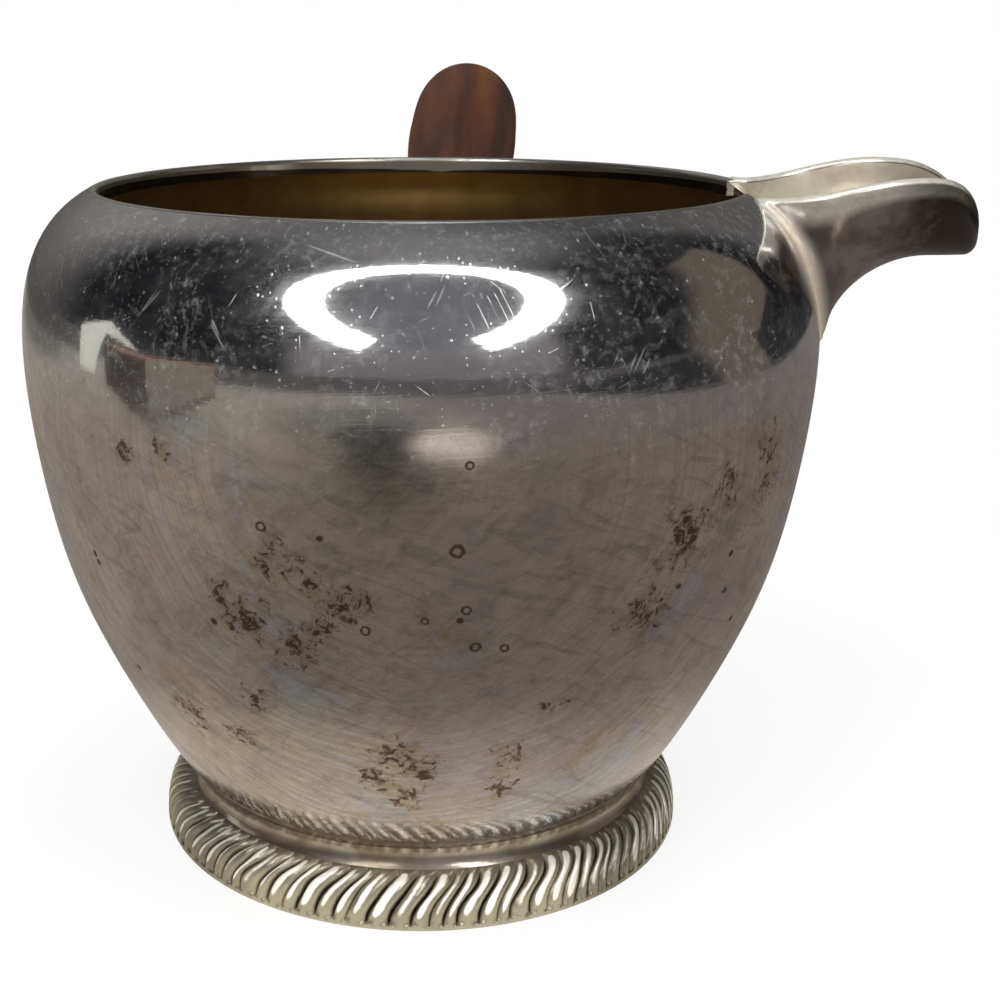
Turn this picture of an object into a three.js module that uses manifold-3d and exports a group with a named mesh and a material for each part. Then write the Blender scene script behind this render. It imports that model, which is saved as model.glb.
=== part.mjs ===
// Silver-plated brandy warmer: a round bowl on a gadrooned foot, an open spout at +X,
// and a wooden handle at +Y. Millimetres, +Z up, standing on z = 0.
// Everything is worked out round the bowl's own axis, and the whole is then
// centred on the middle of its footprint.

import * as THREE from "three";
import { mergeVertices } from "three/addons/utils/BufferGeometryUtils.js";
import Module from "manifold-3d";

const wasm = await Module();
wasm.setup();

// Driving dimensions of the bowl
const WALL = 1.1; // sheet thickness of bowl and spout
const GAP = 0.3; // room left at every solder joint and seat
const BOWL_STEPS = 64; // facets round the bowl
// Steering points (radius, height) of the one smooth curve that is the bowl's outline
const BOWL_OUTLINE = [
  [25.2, 6.9],
  [31.4, 12.0],
  [36.5, 32.0],
  [42.3, 28.8],
  [34.5, 38.3],
  [50.3, 60.7],
  [34.0, 69.2],
];
const [SEAT_RADIUS, SEAT_HEIGHT] = BOWL_OUTLINE[0]; // where the bowl meets its foot
const [MOUTH_RADIUS, MOUTH_HEIGHT] = BOWL_OUTLINE[BOWL_OUTLINE.length - 1];
const DISH_RISE = 0.8; // the bottom of the bowl is dished upwards in the middle
const DISH_EDGE = 0.2; // how much lower the dish is at its edge
const DISH_RADIUS = 21.0;

// Driving dimensions of the band that edges the mouth
const BAND_THICK = 0.8;
const BAND_HEIGHT = 1.7;
const BAND_CROWN = 0.15; // how far its rounded top stands above the bowl's edge

// Driving dimensions of the spout, measured outwards from the bowl's axis
const SPOUT_START = 28.0; // the solid is begun inside the bowl and trimmed to its wall
const SPOUT_REACH = 56.5; // tip of the nose
const SPOUT_ROOT_HALF_WIDTH = 9.0; // where the lips leave the mouth
const SPOUT_HALF_WIDTH = 11.8;
const SPOUT_OPENING_POWER = 1.5; // how much sooner it opens at the root
const SPOUT_WIDEST_AT = 41.4; // from here the lips curve in to the nose
const SPOUT_PLAN_POWER = 2.0;
const SPOUT_TURN = THREE.MathUtils.degToRad(-3.0); // it was soldered on slightly askew
const SPOUT_TURN_AT = 14.6;
const SPOUT_ROLL = THREE.MathUtils.degToRad(1.4); // and a little higher on the handle's side
const SPOUT_SECTION_POWER = 2.3; // 2 is an ellipse, more is a squarer trough
const LIP_CREST = 71.4; // highest point of the lips, which leave the mouth level with it
const LIP_CREST_AT = 48.5;
const LIP_DROP_POWER = 2.8; // how suddenly they drop to the nose
const NOSE_HEIGHT = 64.1; // where lips and underside meet at the tip
const KEEL_ROOT = 54.0; // lowest point of the joint with the bowl
const KEEL_ROOT_AT = 41.3;
const KEEL_LEVEL = 62.7; // underside of the level outer part
const KEEL_LEVEL_AT = 51.3;
const KEEL_STEEPNESS = 0.985; // 1 would make the hollow under the spout start upright
const NOSE_ROUND = 1.4; // length over which the underside turns up at the nose
const CHANNEL_CLEAR = 6.0; // how far the spout's open space is cut above the lips
const SPOUT_STATIONS = 20;
const SECTION_STEPS = 18;

// Driving dimensions of the foot
const FOOT_RADIUS = 28.6;
const FOOT_EDGE = 0.5; // plain edge below the gadroons
const GADROON_TOP_RADIUS = 25.6;
const GADROON_TOP = 4.75;
const GADROON_POWER = 2.7; // 2 is a quarter round, more is a squarer shoulder
const GADROON_COUNT = 104;
const GADROON_DEPTH = 0.6; // from groove to crest
const GADROON_TWIST = THREE.MathUtils.degToRad(6); // upper end leads the lower end by this
const GADROON_ROWS = 5;
const BORDER_INNER = 25.0;
const NECK_INNER = 23.4;
const NECK_OUTER = BORDER_INNER - GAP;
const NECK_BOTTOM = 1.0;
const NECK_TOP = SEAT_HEIGHT - GAP;
const NECK_HOLLOW = 0.35; // depth of the concave moulding
const NECK_STEPS = 5;

// Driving dimensions of the handle, along its own axis from where that meets the bowl
const HANDLE_HEIGHT = 52.9; // height of the handle's axis at the bowl
const HANDLE_ROOT = 41.0; // distance of that point from the bowl's axis
const HANDLE_TILT = THREE.MathUtils.degToRad(15.0);
const PLATE_THICK = 1.0;
const PLATE_HALF_WIDTH = 8.0;
const PLATE_HALF_HEIGHT = 9.5;
const PLATE_LIFT = 0.4; // its middle is a little above the handle's axis
const PLATE_STEPS = 40;
const SOCKET_LENGTH = 21.0;
const SOCKET_DEPTH = 3.0; // how far it is begun behind the wall, where it is trimmed
const SOCKET_FLARE = 6.4; // radius at the plate
const SOCKET_FLARE_END = 4.6;
const SOCKET_NECK = 4.6;
const SOCKET_NECK_AT = 6.5;
const SOCKET_MOUTH = 6.6;
const SOCKET_BEAD = 7.3; // radius of the moulded ring at the mouth
const SOCKET_BEAD_HALF = 1.4;
const SOCKET_BORE_START = 8.5;
const TENON_TIP = 3.5; // radius of the tenon at its inner end
const TENON_SHOULDER = 5.4;
const GRIP_START_RADIUS = 6.6;
const GRIP_WIDEST = 8.75;
const GRIP_WIDEST_AT = 57.0;
const GRIP_END = 79.7;
const GRIP_DOME_POWER = 5.2;
const SWELL_STEPS = 8;
const DOME_STEPS = 14;
const HANDLE_STEPS = 32;
const PIN_AT = 13.5;
const PIN_RADIUS = 0.75;
const PIN_PROUD = 0.25; // how far each end stands out of the socket

// Materials
const SILVER = new THREE.MeshStandardMaterial({ color: 0xb4b1ad, metalness: 1.0, roughness: 0.22 });
const AGED_SILVER = new THREE.MeshStandardMaterial({ color: 0xa69c84, metalness: 1.0, roughness: 0.34 });
const WOOD = new THREE.MeshStandardMaterial({ color: 0x4b2417, metalness: 0.0, roughness: 0.35 });
const BRASS = new THREE.MeshStandardMaterial({ color: 0xa98a52, metalness: 1.0, roughness: 0.35 });

// Shared helpers

// A closed mesh as a solid. Vertices are welded, and triangles that lost an edge are dropped.
function solidOf(geometry) {
  const bare = new THREE.BufferGeometry();
  bare.setAttribute("position", geometry.getAttribute("position"));
  bare.setIndex(geometry.getIndex());
  const welded = mergeVertices(bare, 1e-4);
  const spots = welded.getAttribute("position").array;
  const corners = welded.getIndex().array;
  const kept = [];
  for (let i = 0; i < corners.length; i += 3) {
    const [a, b, c] = [corners[i], corners[i + 1], corners[i + 2]];
    if (a !== b && b !== c && c !== a) kept.push(a, b, c);
  }
  if (signedVolume(spots, kept) < 0) kept.reverse();
  const mesh = new wasm.Mesh({
    numProp: 3,
    vertProperties: new Float32Array(spots),
    triVerts: new Uint32Array(kept),
  });
  return new wasm.Manifold(mesh);
}

// Six times the volume, with a minus sign when the faces look inwards.
function signedVolume(spots, corners) {
  const [a, b, c] = [new THREE.Vector3(), new THREE.Vector3(), new THREE.Vector3()];
  let total = 0;
  for (let i = 0; i < corners.length; i += 3) {
    a.fromArray(spots, 3 * corners[i]);
    b.fromArray(spots, 3 * corners[i + 1]);
    c.fromArray(spots, 3 * corners[i + 2]);
    total += a.dot(b.cross(c));
  }
  return total;
}

// A named mesh from a solid.
function meshOf(name, solid, material) {
  const { vertProperties, triVerts } = solid.getMesh();
  const geometry = new THREE.BufferGeometry();
  geometry.setAttribute("position", new THREE.BufferAttribute(vertProperties, 3));
  geometry.setIndex(new THREE.BufferAttribute(triVerts, 1));
  geometry.computeVertexNormals();
  const mesh = new THREE.Mesh(geometry, material);
  mesh.name = name;
  return mesh;
}

// A profile of [radius, height] pairs turned round the Z axis.
function turned(profile, steps) {
  const points = profile.map(([radius, height]) => new THREE.Vector2(radius, height));
  return new THREE.LatheGeometry(points, steps).rotateX(Math.PI / 2);
}

// A grid of points as a closed skin: rings of equal length, joined in order, with both ends
// closed by a fan. A ring whose points all coincide becomes a point when it is welded.
function skinned(rings) {
  const count = rings[0].length;
  const spots = rings.flat(2);
  const corners = [];
  for (let i = 0; i + 1 < rings.length; i += 1) {
    for (let j = 0; j < count; j += 1) {
      const [a, b] = [i * count + j, i * count + ((j + 1) % count)];
      corners.push(a, b, b + count, a, b + count, a + count);
    }
  }
  const last = (rings.length - 1) * count;
  for (let j = 1; j + 1 < count; j += 1) {
    corners.push(0, j + 1, j);
    corners.push(last, last + j, last + j + 1);
  }
  const geometry = new THREE.BufferGeometry();
  geometry.setAttribute("position", new THREE.Float32BufferAttribute(spots, 3));
  geometry.setIndex(corners);
  return geometry;
}

// Smooth rise from 0 to 1 while x goes from 0 to 1.
function ease(x) {
  return (1 - Math.cos(Math.PI * THREE.MathUtils.clamp(x, 0, 1))) / 2;
}

// Bowl

// A point of the bowl's outline at t from 0 (foot) to 1 (mouth), by repeated halving of
// the lines between the steering points.
function outlinePoint(t) {
  let points = BOWL_OUTLINE.map(([radius, height]) => new THREE.Vector2(radius, height));
  while (points.length > 1) {
    points = points.slice(1).map((point, i) => points[i].clone().lerp(point, t));
  }
  return points[0];
}

// The outline moved outwards by a distance, or inwards when it is negative.
function bowlOutline(outwards, steps) {
  const profile = [];
  for (let i = 0; i <= steps; i += 1) {
    const t = i / steps;
    const along = outlinePoint(Math.min(t + 1e-3, 1)).sub(outlinePoint(Math.max(t - 1e-3, 0))).normalize();
    const point = outlinePoint(t);
    profile.push([point.x + outwards * along.y, point.y - outwards * along.x]);
  }
  return profile;
}

// The space inside the bowl's outline moved outwards by a distance, closed at the top.
function bowlSpace(outwards) {
  const profile = bowlOutline(outwards, 24);
  const lid = MOUTH_HEIGHT + CHANNEL_CLEAR;
  const closed = [[0, profile[0][1]], ...profile, [MOUTH_RADIUS, lid], [0, lid]];
  return solidOf(turned(closed, BOWL_STEPS));
}

// The upright round hole in which the band of the mouth sits.
function bandSeat() {
  const [radius, floor, lid] = [MOUTH_RADIUS + GAP, MOUTH_HEIGHT - 4, MOUTH_HEIGHT + 4];
  return solidOf(turned([[0, floor], [radius, floor], [radius, lid], [0, lid]], BOWL_STEPS));
}

function bowl() {
  const outside = bowlOutline(0, 18);
  const inside = bowlOutline(-WALL, 13).slice(1).reverse();
  const profile = [
    [0, SEAT_HEIGHT + DISH_RISE],
    [DISH_RADIUS, SEAT_HEIGHT + DISH_RISE - DISH_EDGE],
    [NECK_INNER - GAP, SEAT_HEIGHT],
    ...outside,
    ...inside,
    [NECK_INNER, SEAT_HEIGHT + WALL + DISH_EDGE],
    [0, SEAT_HEIGHT + WALL + DISH_RISE],
  ];
  return solidOf(turned(profile, BOWL_STEPS)).subtract(bandSeat()).subtract(channel());
}

// The low upright band, rounded on top, that edges the mouth inside the bowl's own edge.
function rimBand() {
  const inner = MOUTH_RADIUS - BAND_THICK;
  const bottom = MOUTH_HEIGHT - BAND_HEIGHT;
  const profile = [
    [MOUTH_RADIUS, bottom],
    [MOUTH_RADIUS, MOUTH_HEIGHT],
    [MOUTH_RADIUS - BAND_THICK / 2, MOUTH_HEIGHT + BAND_CROWN],
    [inner, MOUTH_HEIGHT],
    [inner, bottom],
    [MOUTH_RADIUS, bottom],
  ];
  return solidOf(turned(profile, BOWL_STEPS)).subtract(channel());
}

// Spout

// Half the spout's width at a distance out from the bowl's axis: it opens from the mouth to its
// widest place, quickly at first, and closes round the nose.
function spoutHalfWidth(out, inset, reach) {
  const left = THREE.MathUtils.clamp((SPOUT_WIDEST_AT - out) / (SPOUT_WIDEST_AT - MOUTH_RADIUS), 0, 1);
  const opening = 1 - left ** SPOUT_OPENING_POWER;
  const widest = THREE.MathUtils.lerp(SPOUT_ROOT_HALF_WIDTH, SPOUT_HALF_WIDTH, opening) - inset;
  const along = THREE.MathUtils.clamp((out - SPOUT_WIDEST_AT) / (reach - SPOUT_WIDEST_AT), 0, 1);
  return widest * (1 - along ** SPOUT_PLAN_POWER) ** (1 / SPOUT_PLAN_POWER);
}

// Height of the lips: a gentle rise to the crest, then a round drop to the nose.
function lipHeight(out) {
  const climb = ease((out - MOUTH_RADIUS) / (LIP_CREST_AT - MOUTH_RADIUS));
  const past = THREE.MathUtils.clamp((out - LIP_CREST_AT) / (SPOUT_REACH - LIP_CREST_AT), 0, 1);
  const drop = (LIP_CREST - NOSE_HEIGHT) * (1 - Math.sqrt(1 - past ** LIP_DROP_POWER));
  return THREE.MathUtils.lerp(MOUTH_HEIGHT, LIP_CREST, climb) - drop;
}

// Height of the underside: a quarter-round hollow from the bowl to the level part, and a turn
// upwards at the nose.
function keelHeight(out, reach) {
  const along = THREE.MathUtils.clamp((KEEL_LEVEL_AT - out) / (KEEL_LEVEL_AT - KEEL_ROOT_AT), 0, 1);
  const quarterRound = (x) => 1 - Math.sqrt(1 - KEEL_STEEPNESS * x ** 2);
  const hollow = (KEEL_LEVEL - KEEL_ROOT) * (quarterRound(along) / quarterRound(1));
  const turn = THREE.MathUtils.clamp((out - reach + NOSE_ROUND) / NOSE_ROUND, 0, 1);
  return KEEL_LEVEL - hollow + (NOSE_HEIGHT - KEEL_LEVEL) * (1 - Math.sqrt(1 - turn ** 2));
}

// The trough as a closed body: a row of U-shaped sections, each closed by a flat top.
// inset shrinks it on the sides, nose and underside, and top lifts its flat top to one height.
function trough(inset, top) {
  const reach = SPOUT_REACH - inset;
  const rings = [];
  for (let i = 0; i <= SPOUT_STATIONS; i += 1) {
    const out = SPOUT_START + (reach - SPOUT_START) * Math.sin((Math.PI / 2) * (i / SPOUT_STATIONS));
    const width = spoutHalfWidth(out, inset, reach);
    const lip = lipHeight(out);
    const depth = lip - keelHeight(out, reach) - inset;
    const ring = [];
    for (let j = 0; j <= SECTION_STEPS; j += 1) {
      const angle = (Math.PI * j) / SECTION_STEPS;
      const side = Math.sign(Math.cos(angle)) * Math.abs(Math.cos(angle)) ** (2 / SPOUT_SECTION_POWER);
      const down = Math.sin(angle) ** (2 / SPOUT_SECTION_POWER);
      ring.push([out, width * side, lip - depth * down]);
    }
    if (top) {
      ring.unshift([out, width, top]);
      ring.push([out, -width, top]);
    }
    rings.push(ring);
  }
  const straight = skinned(rings).translate(-SPOUT_TURN_AT, 0, -MOUTH_HEIGHT);
  const askew = straight.rotateX(SPOUT_ROLL).rotateZ(SPOUT_TURN);
  return solidOf(askew.translate(SPOUT_TURN_AT, 0, MOUTH_HEIGHT));
}

// The open space of the spout, which also cuts the way through the bowl's wall and the band.
function channel() {
  return trough(WALL, LIP_CREST + CHANNEL_CLEAR);
}

function spout() {
  return trough(0, 0).subtract(channel()).subtract(bowlSpace(GAP));
}

// Foot

// The concave plain ring between the gadroons and the bowl.
function footRing() {
  const seat = GADROON_TOP + GAP;
  const hollow = [];
  for (let i = 0; i <= NECK_STEPS; i += 1) {
    const t = i / NECK_STEPS;
    const radius = THREE.MathUtils.lerp(GADROON_TOP_RADIUS, SEAT_RADIUS, t);
    hollow.push([radius - NECK_HOLLOW * Math.sin(Math.PI * t), seat + (NECK_TOP - seat) * t]);
  }
  const profile = [
    [NECK_INNER, NECK_BOTTOM],
    [NECK_OUTER, NECK_BOTTOM],
    [NECK_OUTER, seat],
    ...hollow,
    [NECK_INNER, NECK_TOP],
    [NECK_INNER, NECK_BOTTOM],
  ];
  return solidOf(turned(profile, BOWL_STEPS));
}

// The gadrooned ring: a squarish quarter-round band of slanting ribs. Each column of points
// lies on a crest or in a groove by turns, and leans over as it climbs.
function gadroonBorder() {
  const rings = [];
  const columns = 2 * GADROON_COUNT;
  for (let j = 0; j < columns; j += 1) {
    const angle = (2 * Math.PI * j) / columns;
    const depth = j % 2 === 0 ? 0 : GADROON_DEPTH;
    const ring = [];
    const put = (radius, height, lean) => {
      const turn = angle + GADROON_TWIST * lean;
      ring.push([radius * Math.cos(turn), radius * Math.sin(turn), height]);
    };
    put(BORDER_INNER, 0, 0);
    put(FOOT_RADIUS, 0, 0);
    for (let k = 0; k <= GADROON_ROWS; k += 1) {
      const climb = k / GADROON_ROWS;
      const bend = (Math.PI / 2) * climb;
      const sunk = depth * Math.sqrt(Math.sin(Math.PI * climb));
      const outwards = Math.max(Math.cos(bend), 0) ** (2 / GADROON_POWER);
      const upwards = Math.sin(bend) ** (2 / GADROON_POWER);
      const radius = GADROON_TOP_RADIUS + (FOOT_RADIUS - GADROON_TOP_RADIUS - sunk) * outwards;
      const height = FOOT_EDGE + (GADROON_TOP - FOOT_EDGE - sunk) * upwards;
      put(radius, height, ease(climb));
    }
    put(BORDER_INNER, GADROON_TOP, 1);
    put(BORDER_INNER, GADROON_TOP / 2, 0.5);
    rings.push(ring);
  }
  return solidOf(roundRing(rings));
}

// Closed sections set round in a circle, the last joined to the first.
function roundRing(rings) {
  const count = rings[0].length;
  const corners = [];
  for (let i = 0; i < rings.length; i += 1) {
    const next = (i + 1) % rings.length;
    for (let j = 0; j < count; j += 1) {
      const over = (j + 1) % count;
      const [a, b, c, d] = [i * count + j, i * count + over, next * count + over, next * count + j];
      corners.push(a, b, c, a, c, d);
    }
  }
  const geometry = new THREE.BufferGeometry();
  geometry.setAttribute("position", new THREE.Float32BufferAttribute(rings.flat(2), 3));
  geometry.setIndex(corners);
  return geometry;
}

// Handle

// Turns a geometry made along +Z into the handle's own place and direction.
function alongHandle(geometry) {
  return geometry.rotateX(HANDLE_TILT - Math.PI / 2).translate(0, HANDLE_ROOT, HANDLE_HEIGHT);
}

// The hole for the cross pin.
function pinSpace(radius, length) {
  const round = new THREE.CylinderGeometry(radius, radius, length, 16).rotateZ(Math.PI / 2);
  return solidOf(alongHandle(round.translate(0, 0, PIN_AT)));
}

function pinBore() {
  return pinSpace(PIN_RADIUS + GAP, 6 * SOCKET_BEAD);
}

// Outside radius of the socket between its neck and its mouth.
function socketRadius(along) {
  const end = SOCKET_LENGTH - 2.5 * SOCKET_BEAD_HALF;
  const opening = ease((along - SOCKET_NECK_AT) / (end - SOCKET_NECK_AT));
  return THREE.MathUtils.lerp(SOCKET_NECK, SOCKET_MOUTH, opening);
}

// An oval plate that follows the bowl's wall.
function socketPlate() {
  const blank = new THREE.CylinderGeometry(1, 1, SOCKET_LENGTH, PLATE_STEPS);
  blank.scale(PLATE_HALF_WIDTH, 1, PLATE_HALF_HEIGHT);
  blank.translate(0, HANDLE_ROOT, HANDLE_HEIGHT + PLATE_LIFT);
  return solidOf(blank).intersect(bowlSpace(GAP + PLATE_THICK)).subtract(bowlSpace(GAP));
}

// A trumpet-shaped socket: flared at the plate, narrow behind it, and beaded at its mouth.
function handleSocket() {
  const bead = SOCKET_LENGTH - SOCKET_BEAD_HALF;
  const profile = [[0, -SOCKET_DEPTH], [SOCKET_FLARE, -SOCKET_DEPTH]];
  for (let i = 0; i <= 4; i += 1) {
    const t = i / 4;
    const drop = Math.sin((Math.PI / 2) * t);
    const along = THREE.MathUtils.lerp(SOCKET_FLARE_END / 3, SOCKET_FLARE_END, t);
    profile.push([THREE.MathUtils.lerp(SOCKET_FLARE, SOCKET_NECK, drop), along]);
  }
  for (let i = 0; i <= 4; i += 1) {
    const along = THREE.MathUtils.lerp(SOCKET_NECK_AT, bead - SOCKET_BEAD_HALF, i / 4);
    profile.push([socketRadius(along), along]);
  }
  for (let i = 0; i <= 4; i += 1) {
    const swell = Math.sin((Math.PI * (i + 0.5)) / 5);
    const along = bead + SOCKET_BEAD_HALF * (i / 2.5 - 0.8);
    profile.push([THREE.MathUtils.lerp(SOCKET_MOUTH, SOCKET_BEAD, swell), along]);
  }
  profile.push(
    [SOCKET_MOUTH, SOCKET_LENGTH],
    [TENON_SHOULDER + GAP, SOCKET_LENGTH],
    [TENON_TIP + GAP, SOCKET_BORE_START],
    [0, SOCKET_BORE_START],
  );
  const body = solidOf(alongHandle(turned(profile, HANDLE_STEPS)));
  return body.subtract(bowlSpace(2 * GAP + PLATE_THICK)).subtract(pinBore());
}

// The wooden handle: a tenon in the socket, a long swell and a domed end.
function handleGrip() {
  const shoulder = SOCKET_LENGTH + GAP;
  const profile = [
    [0, SOCKET_BORE_START + GAP],
    [TENON_TIP, SOCKET_BORE_START + GAP],
    [TENON_SHOULDER, shoulder],
  ];
  for (let i = 0; i <= SWELL_STEPS; i += 1) {
    const t = i / SWELL_STEPS;
    const radius = THREE.MathUtils.lerp(GRIP_START_RADIUS, GRIP_WIDEST, ease(t));
    profile.push([radius, THREE.MathUtils.lerp(shoulder, GRIP_WIDEST_AT, t)]);
  }
  for (let i = 1; i < DOME_STEPS; i += 1) {
    const t = Math.sin((Math.PI / 2) * (i / DOME_STEPS));
    const radius = GRIP_WIDEST * Math.sqrt(1 - t ** GRIP_DOME_POWER);
    profile.push([radius, THREE.MathUtils.lerp(GRIP_WIDEST_AT, GRIP_END, t)]);
  }
  profile.push([0, GRIP_END]);
  return solidOf(alongHandle(turned(profile, HANDLE_STEPS))).subtract(pinBore());
}

function handlePin() {
  return pinSpace(PIN_RADIUS, 2 * (socketRadius(PIN_AT) + PIN_PROUD));
}

// The assembly
const warmer = new THREE.Group();
warmer.add(
  meshOf("bowl", bowl(), SILVER),
  meshOf("rim_band", rimBand(), SILVER),
  meshOf("spout", spout(), SILVER),
  meshOf("foot_ring", footRing(), SILVER),
  meshOf("gadroon_border", gadroonBorder(), AGED_SILVER),
  meshOf("socket_plate", socketPlate(), SILVER),
  meshOf("handle_socket", handleSocket(), SILVER),
  meshOf("handle_grip", handleGrip(), WOOD),
  meshOf("handle_pin", handlePin(), BRASS),
);
const middle = new THREE.Box3().setFromObject(warmer).getCenter(new THREE.Vector3());
warmer.position.set(-middle.x, -middle.y, 0);

export default warmer;
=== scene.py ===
"""Looks of a silver-plated brandy warmer, built round its CAD frame.

Every surface is worked out in millimetres about the bowl's own upright axis, with the spout
at +X and the handle at +Y, and then put in its place in the frame.
"""

import logging
import math
from dataclasses import dataclass, field
from enum import Enum
from functools import reduce

import bmesh
import bpy
import numpy as np
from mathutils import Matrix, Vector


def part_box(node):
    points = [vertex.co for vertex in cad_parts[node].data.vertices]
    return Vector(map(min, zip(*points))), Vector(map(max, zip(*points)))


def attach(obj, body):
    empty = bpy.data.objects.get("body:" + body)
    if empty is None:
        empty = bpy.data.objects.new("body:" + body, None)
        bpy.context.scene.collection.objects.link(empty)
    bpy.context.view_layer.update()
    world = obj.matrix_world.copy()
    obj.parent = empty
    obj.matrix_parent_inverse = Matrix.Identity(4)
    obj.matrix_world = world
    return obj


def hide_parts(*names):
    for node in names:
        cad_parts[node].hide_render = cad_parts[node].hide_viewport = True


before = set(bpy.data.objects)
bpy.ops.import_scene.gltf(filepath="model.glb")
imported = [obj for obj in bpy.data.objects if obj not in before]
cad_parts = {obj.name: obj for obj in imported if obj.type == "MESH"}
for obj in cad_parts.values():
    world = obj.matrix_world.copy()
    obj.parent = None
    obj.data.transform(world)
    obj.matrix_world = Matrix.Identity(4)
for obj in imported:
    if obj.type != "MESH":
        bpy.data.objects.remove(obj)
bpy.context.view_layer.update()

log = logging.getLogger("brandy_warmer")

Array = np.ndarray
Colour = tuple[float, float, float]
Point = tuple[float, float, float]
Spot = tuple[float, float]
Material = bpy.types.Material

MM = 0.001
ROOT = "root"
MERGED_WITHIN = 0.002 * MM
SHORTEST_EDGE = 0.001 * MM
OUTLINE_STEPS = 400
HALVINGS = 30


class Slot(Enum):
    """Material slots of the record."""

    SILVER = "silver"
    AGED_SILVER = "aged_silver"
    WOOD = "wood"
    BRASS = "brass"


# Shapes


def ease(x: Array) -> Array:
    """Smooth rise from 0 to 1, half a cosine wave, while x goes from 0 to 1."""
    return (1 - np.cos(np.pi * np.clip(x, 0, 1))) / 2


def blend(low: float, high: float, share: Array) -> Array:
    """The value that lies at a share of the way from low to high."""
    return low + (high - low) * share


def steered_curve(steering: Array, t: Array) -> Array:
    """Points of the one smooth curve that a few steering points give.

    Neighbouring points are joined by lines, each line is divided at share t, and the points
    of division are joined again, until one point is left.

    Args:
        steering: the steering points, one row each.
        t: shares of the way along the curve.

    Returns:
        One row for each value of t.
    """
    rungs = np.repeat(steering[:, None, :], t.size, axis=1)
    while len(rungs) > 1:
        rungs = rungs[:-1] + (rungs[1:] - rungs[:-1]) * t[None, :, None]
    return rungs[0]


def about_axis(radius: Array, turn: Array, height: Array) -> Array:
    """Points at a radius, an angle and a height about the upright axis."""
    grid = np.broadcast_arrays(radius * np.cos(turn), radius * np.sin(turn), height)
    return np.stack(grid, axis=-1)


def turned(profile: Array, turns: Array) -> Array:
    """A profile of (radius, height) rows turned round the upright axis to a grid of points."""
    return about_axis(profile[:, :1], turns, profile[:, 1:])


def profile_rows(radius: Array | float, height: Array | float) -> Array:
    """Rows of radius and height; a single number serves for every row."""
    return np.stack(np.broadcast_arrays(radius, height), axis=1)


def full_turn(columns: int) -> Array:
    """Evenly spread angles of one whole turn, without its end."""
    return np.linspace(0, 2 * np.pi, columns, endpoint=False)


@dataclass
class Patch:
    """A grid of points, in millimetres about the bowl's axis, that becomes a sheet of faces.

    In a ring the last column is joined to the first, and in a loop the last row. Finish is the
    number of one of the piece's finishes, and marks are values at the points for it to read.
    """

    points: Array
    ring: bool = True
    loop: bool = False
    finish: int = 0
    marks: dict[str, Array] = field(default_factory=dict)

    def faces(self, first: int) -> Array:
        """Four-cornered faces between neighbouring rows and columns.

        Args:
            first: the number of the patch's first vertex in the whole mesh.

        Returns:
            One row of four vertex numbers for each face.
        """
        rows, columns = self.points.shape[:2]
        grid = np.arange(rows * columns).reshape(rows, columns) + first
        if self.ring:
            grid = np.concatenate([grid, grid[:, :1]], axis=1)
        if self.loop:
            grid = np.concatenate([grid, grid[:1]], axis=0)
        corners = [grid[:-1, :-1], grid[:-1, 1:], grid[1:, 1:], grid[1:, :-1]]
        return np.stack(corners, axis=-1).reshape(-1, 4)


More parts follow.
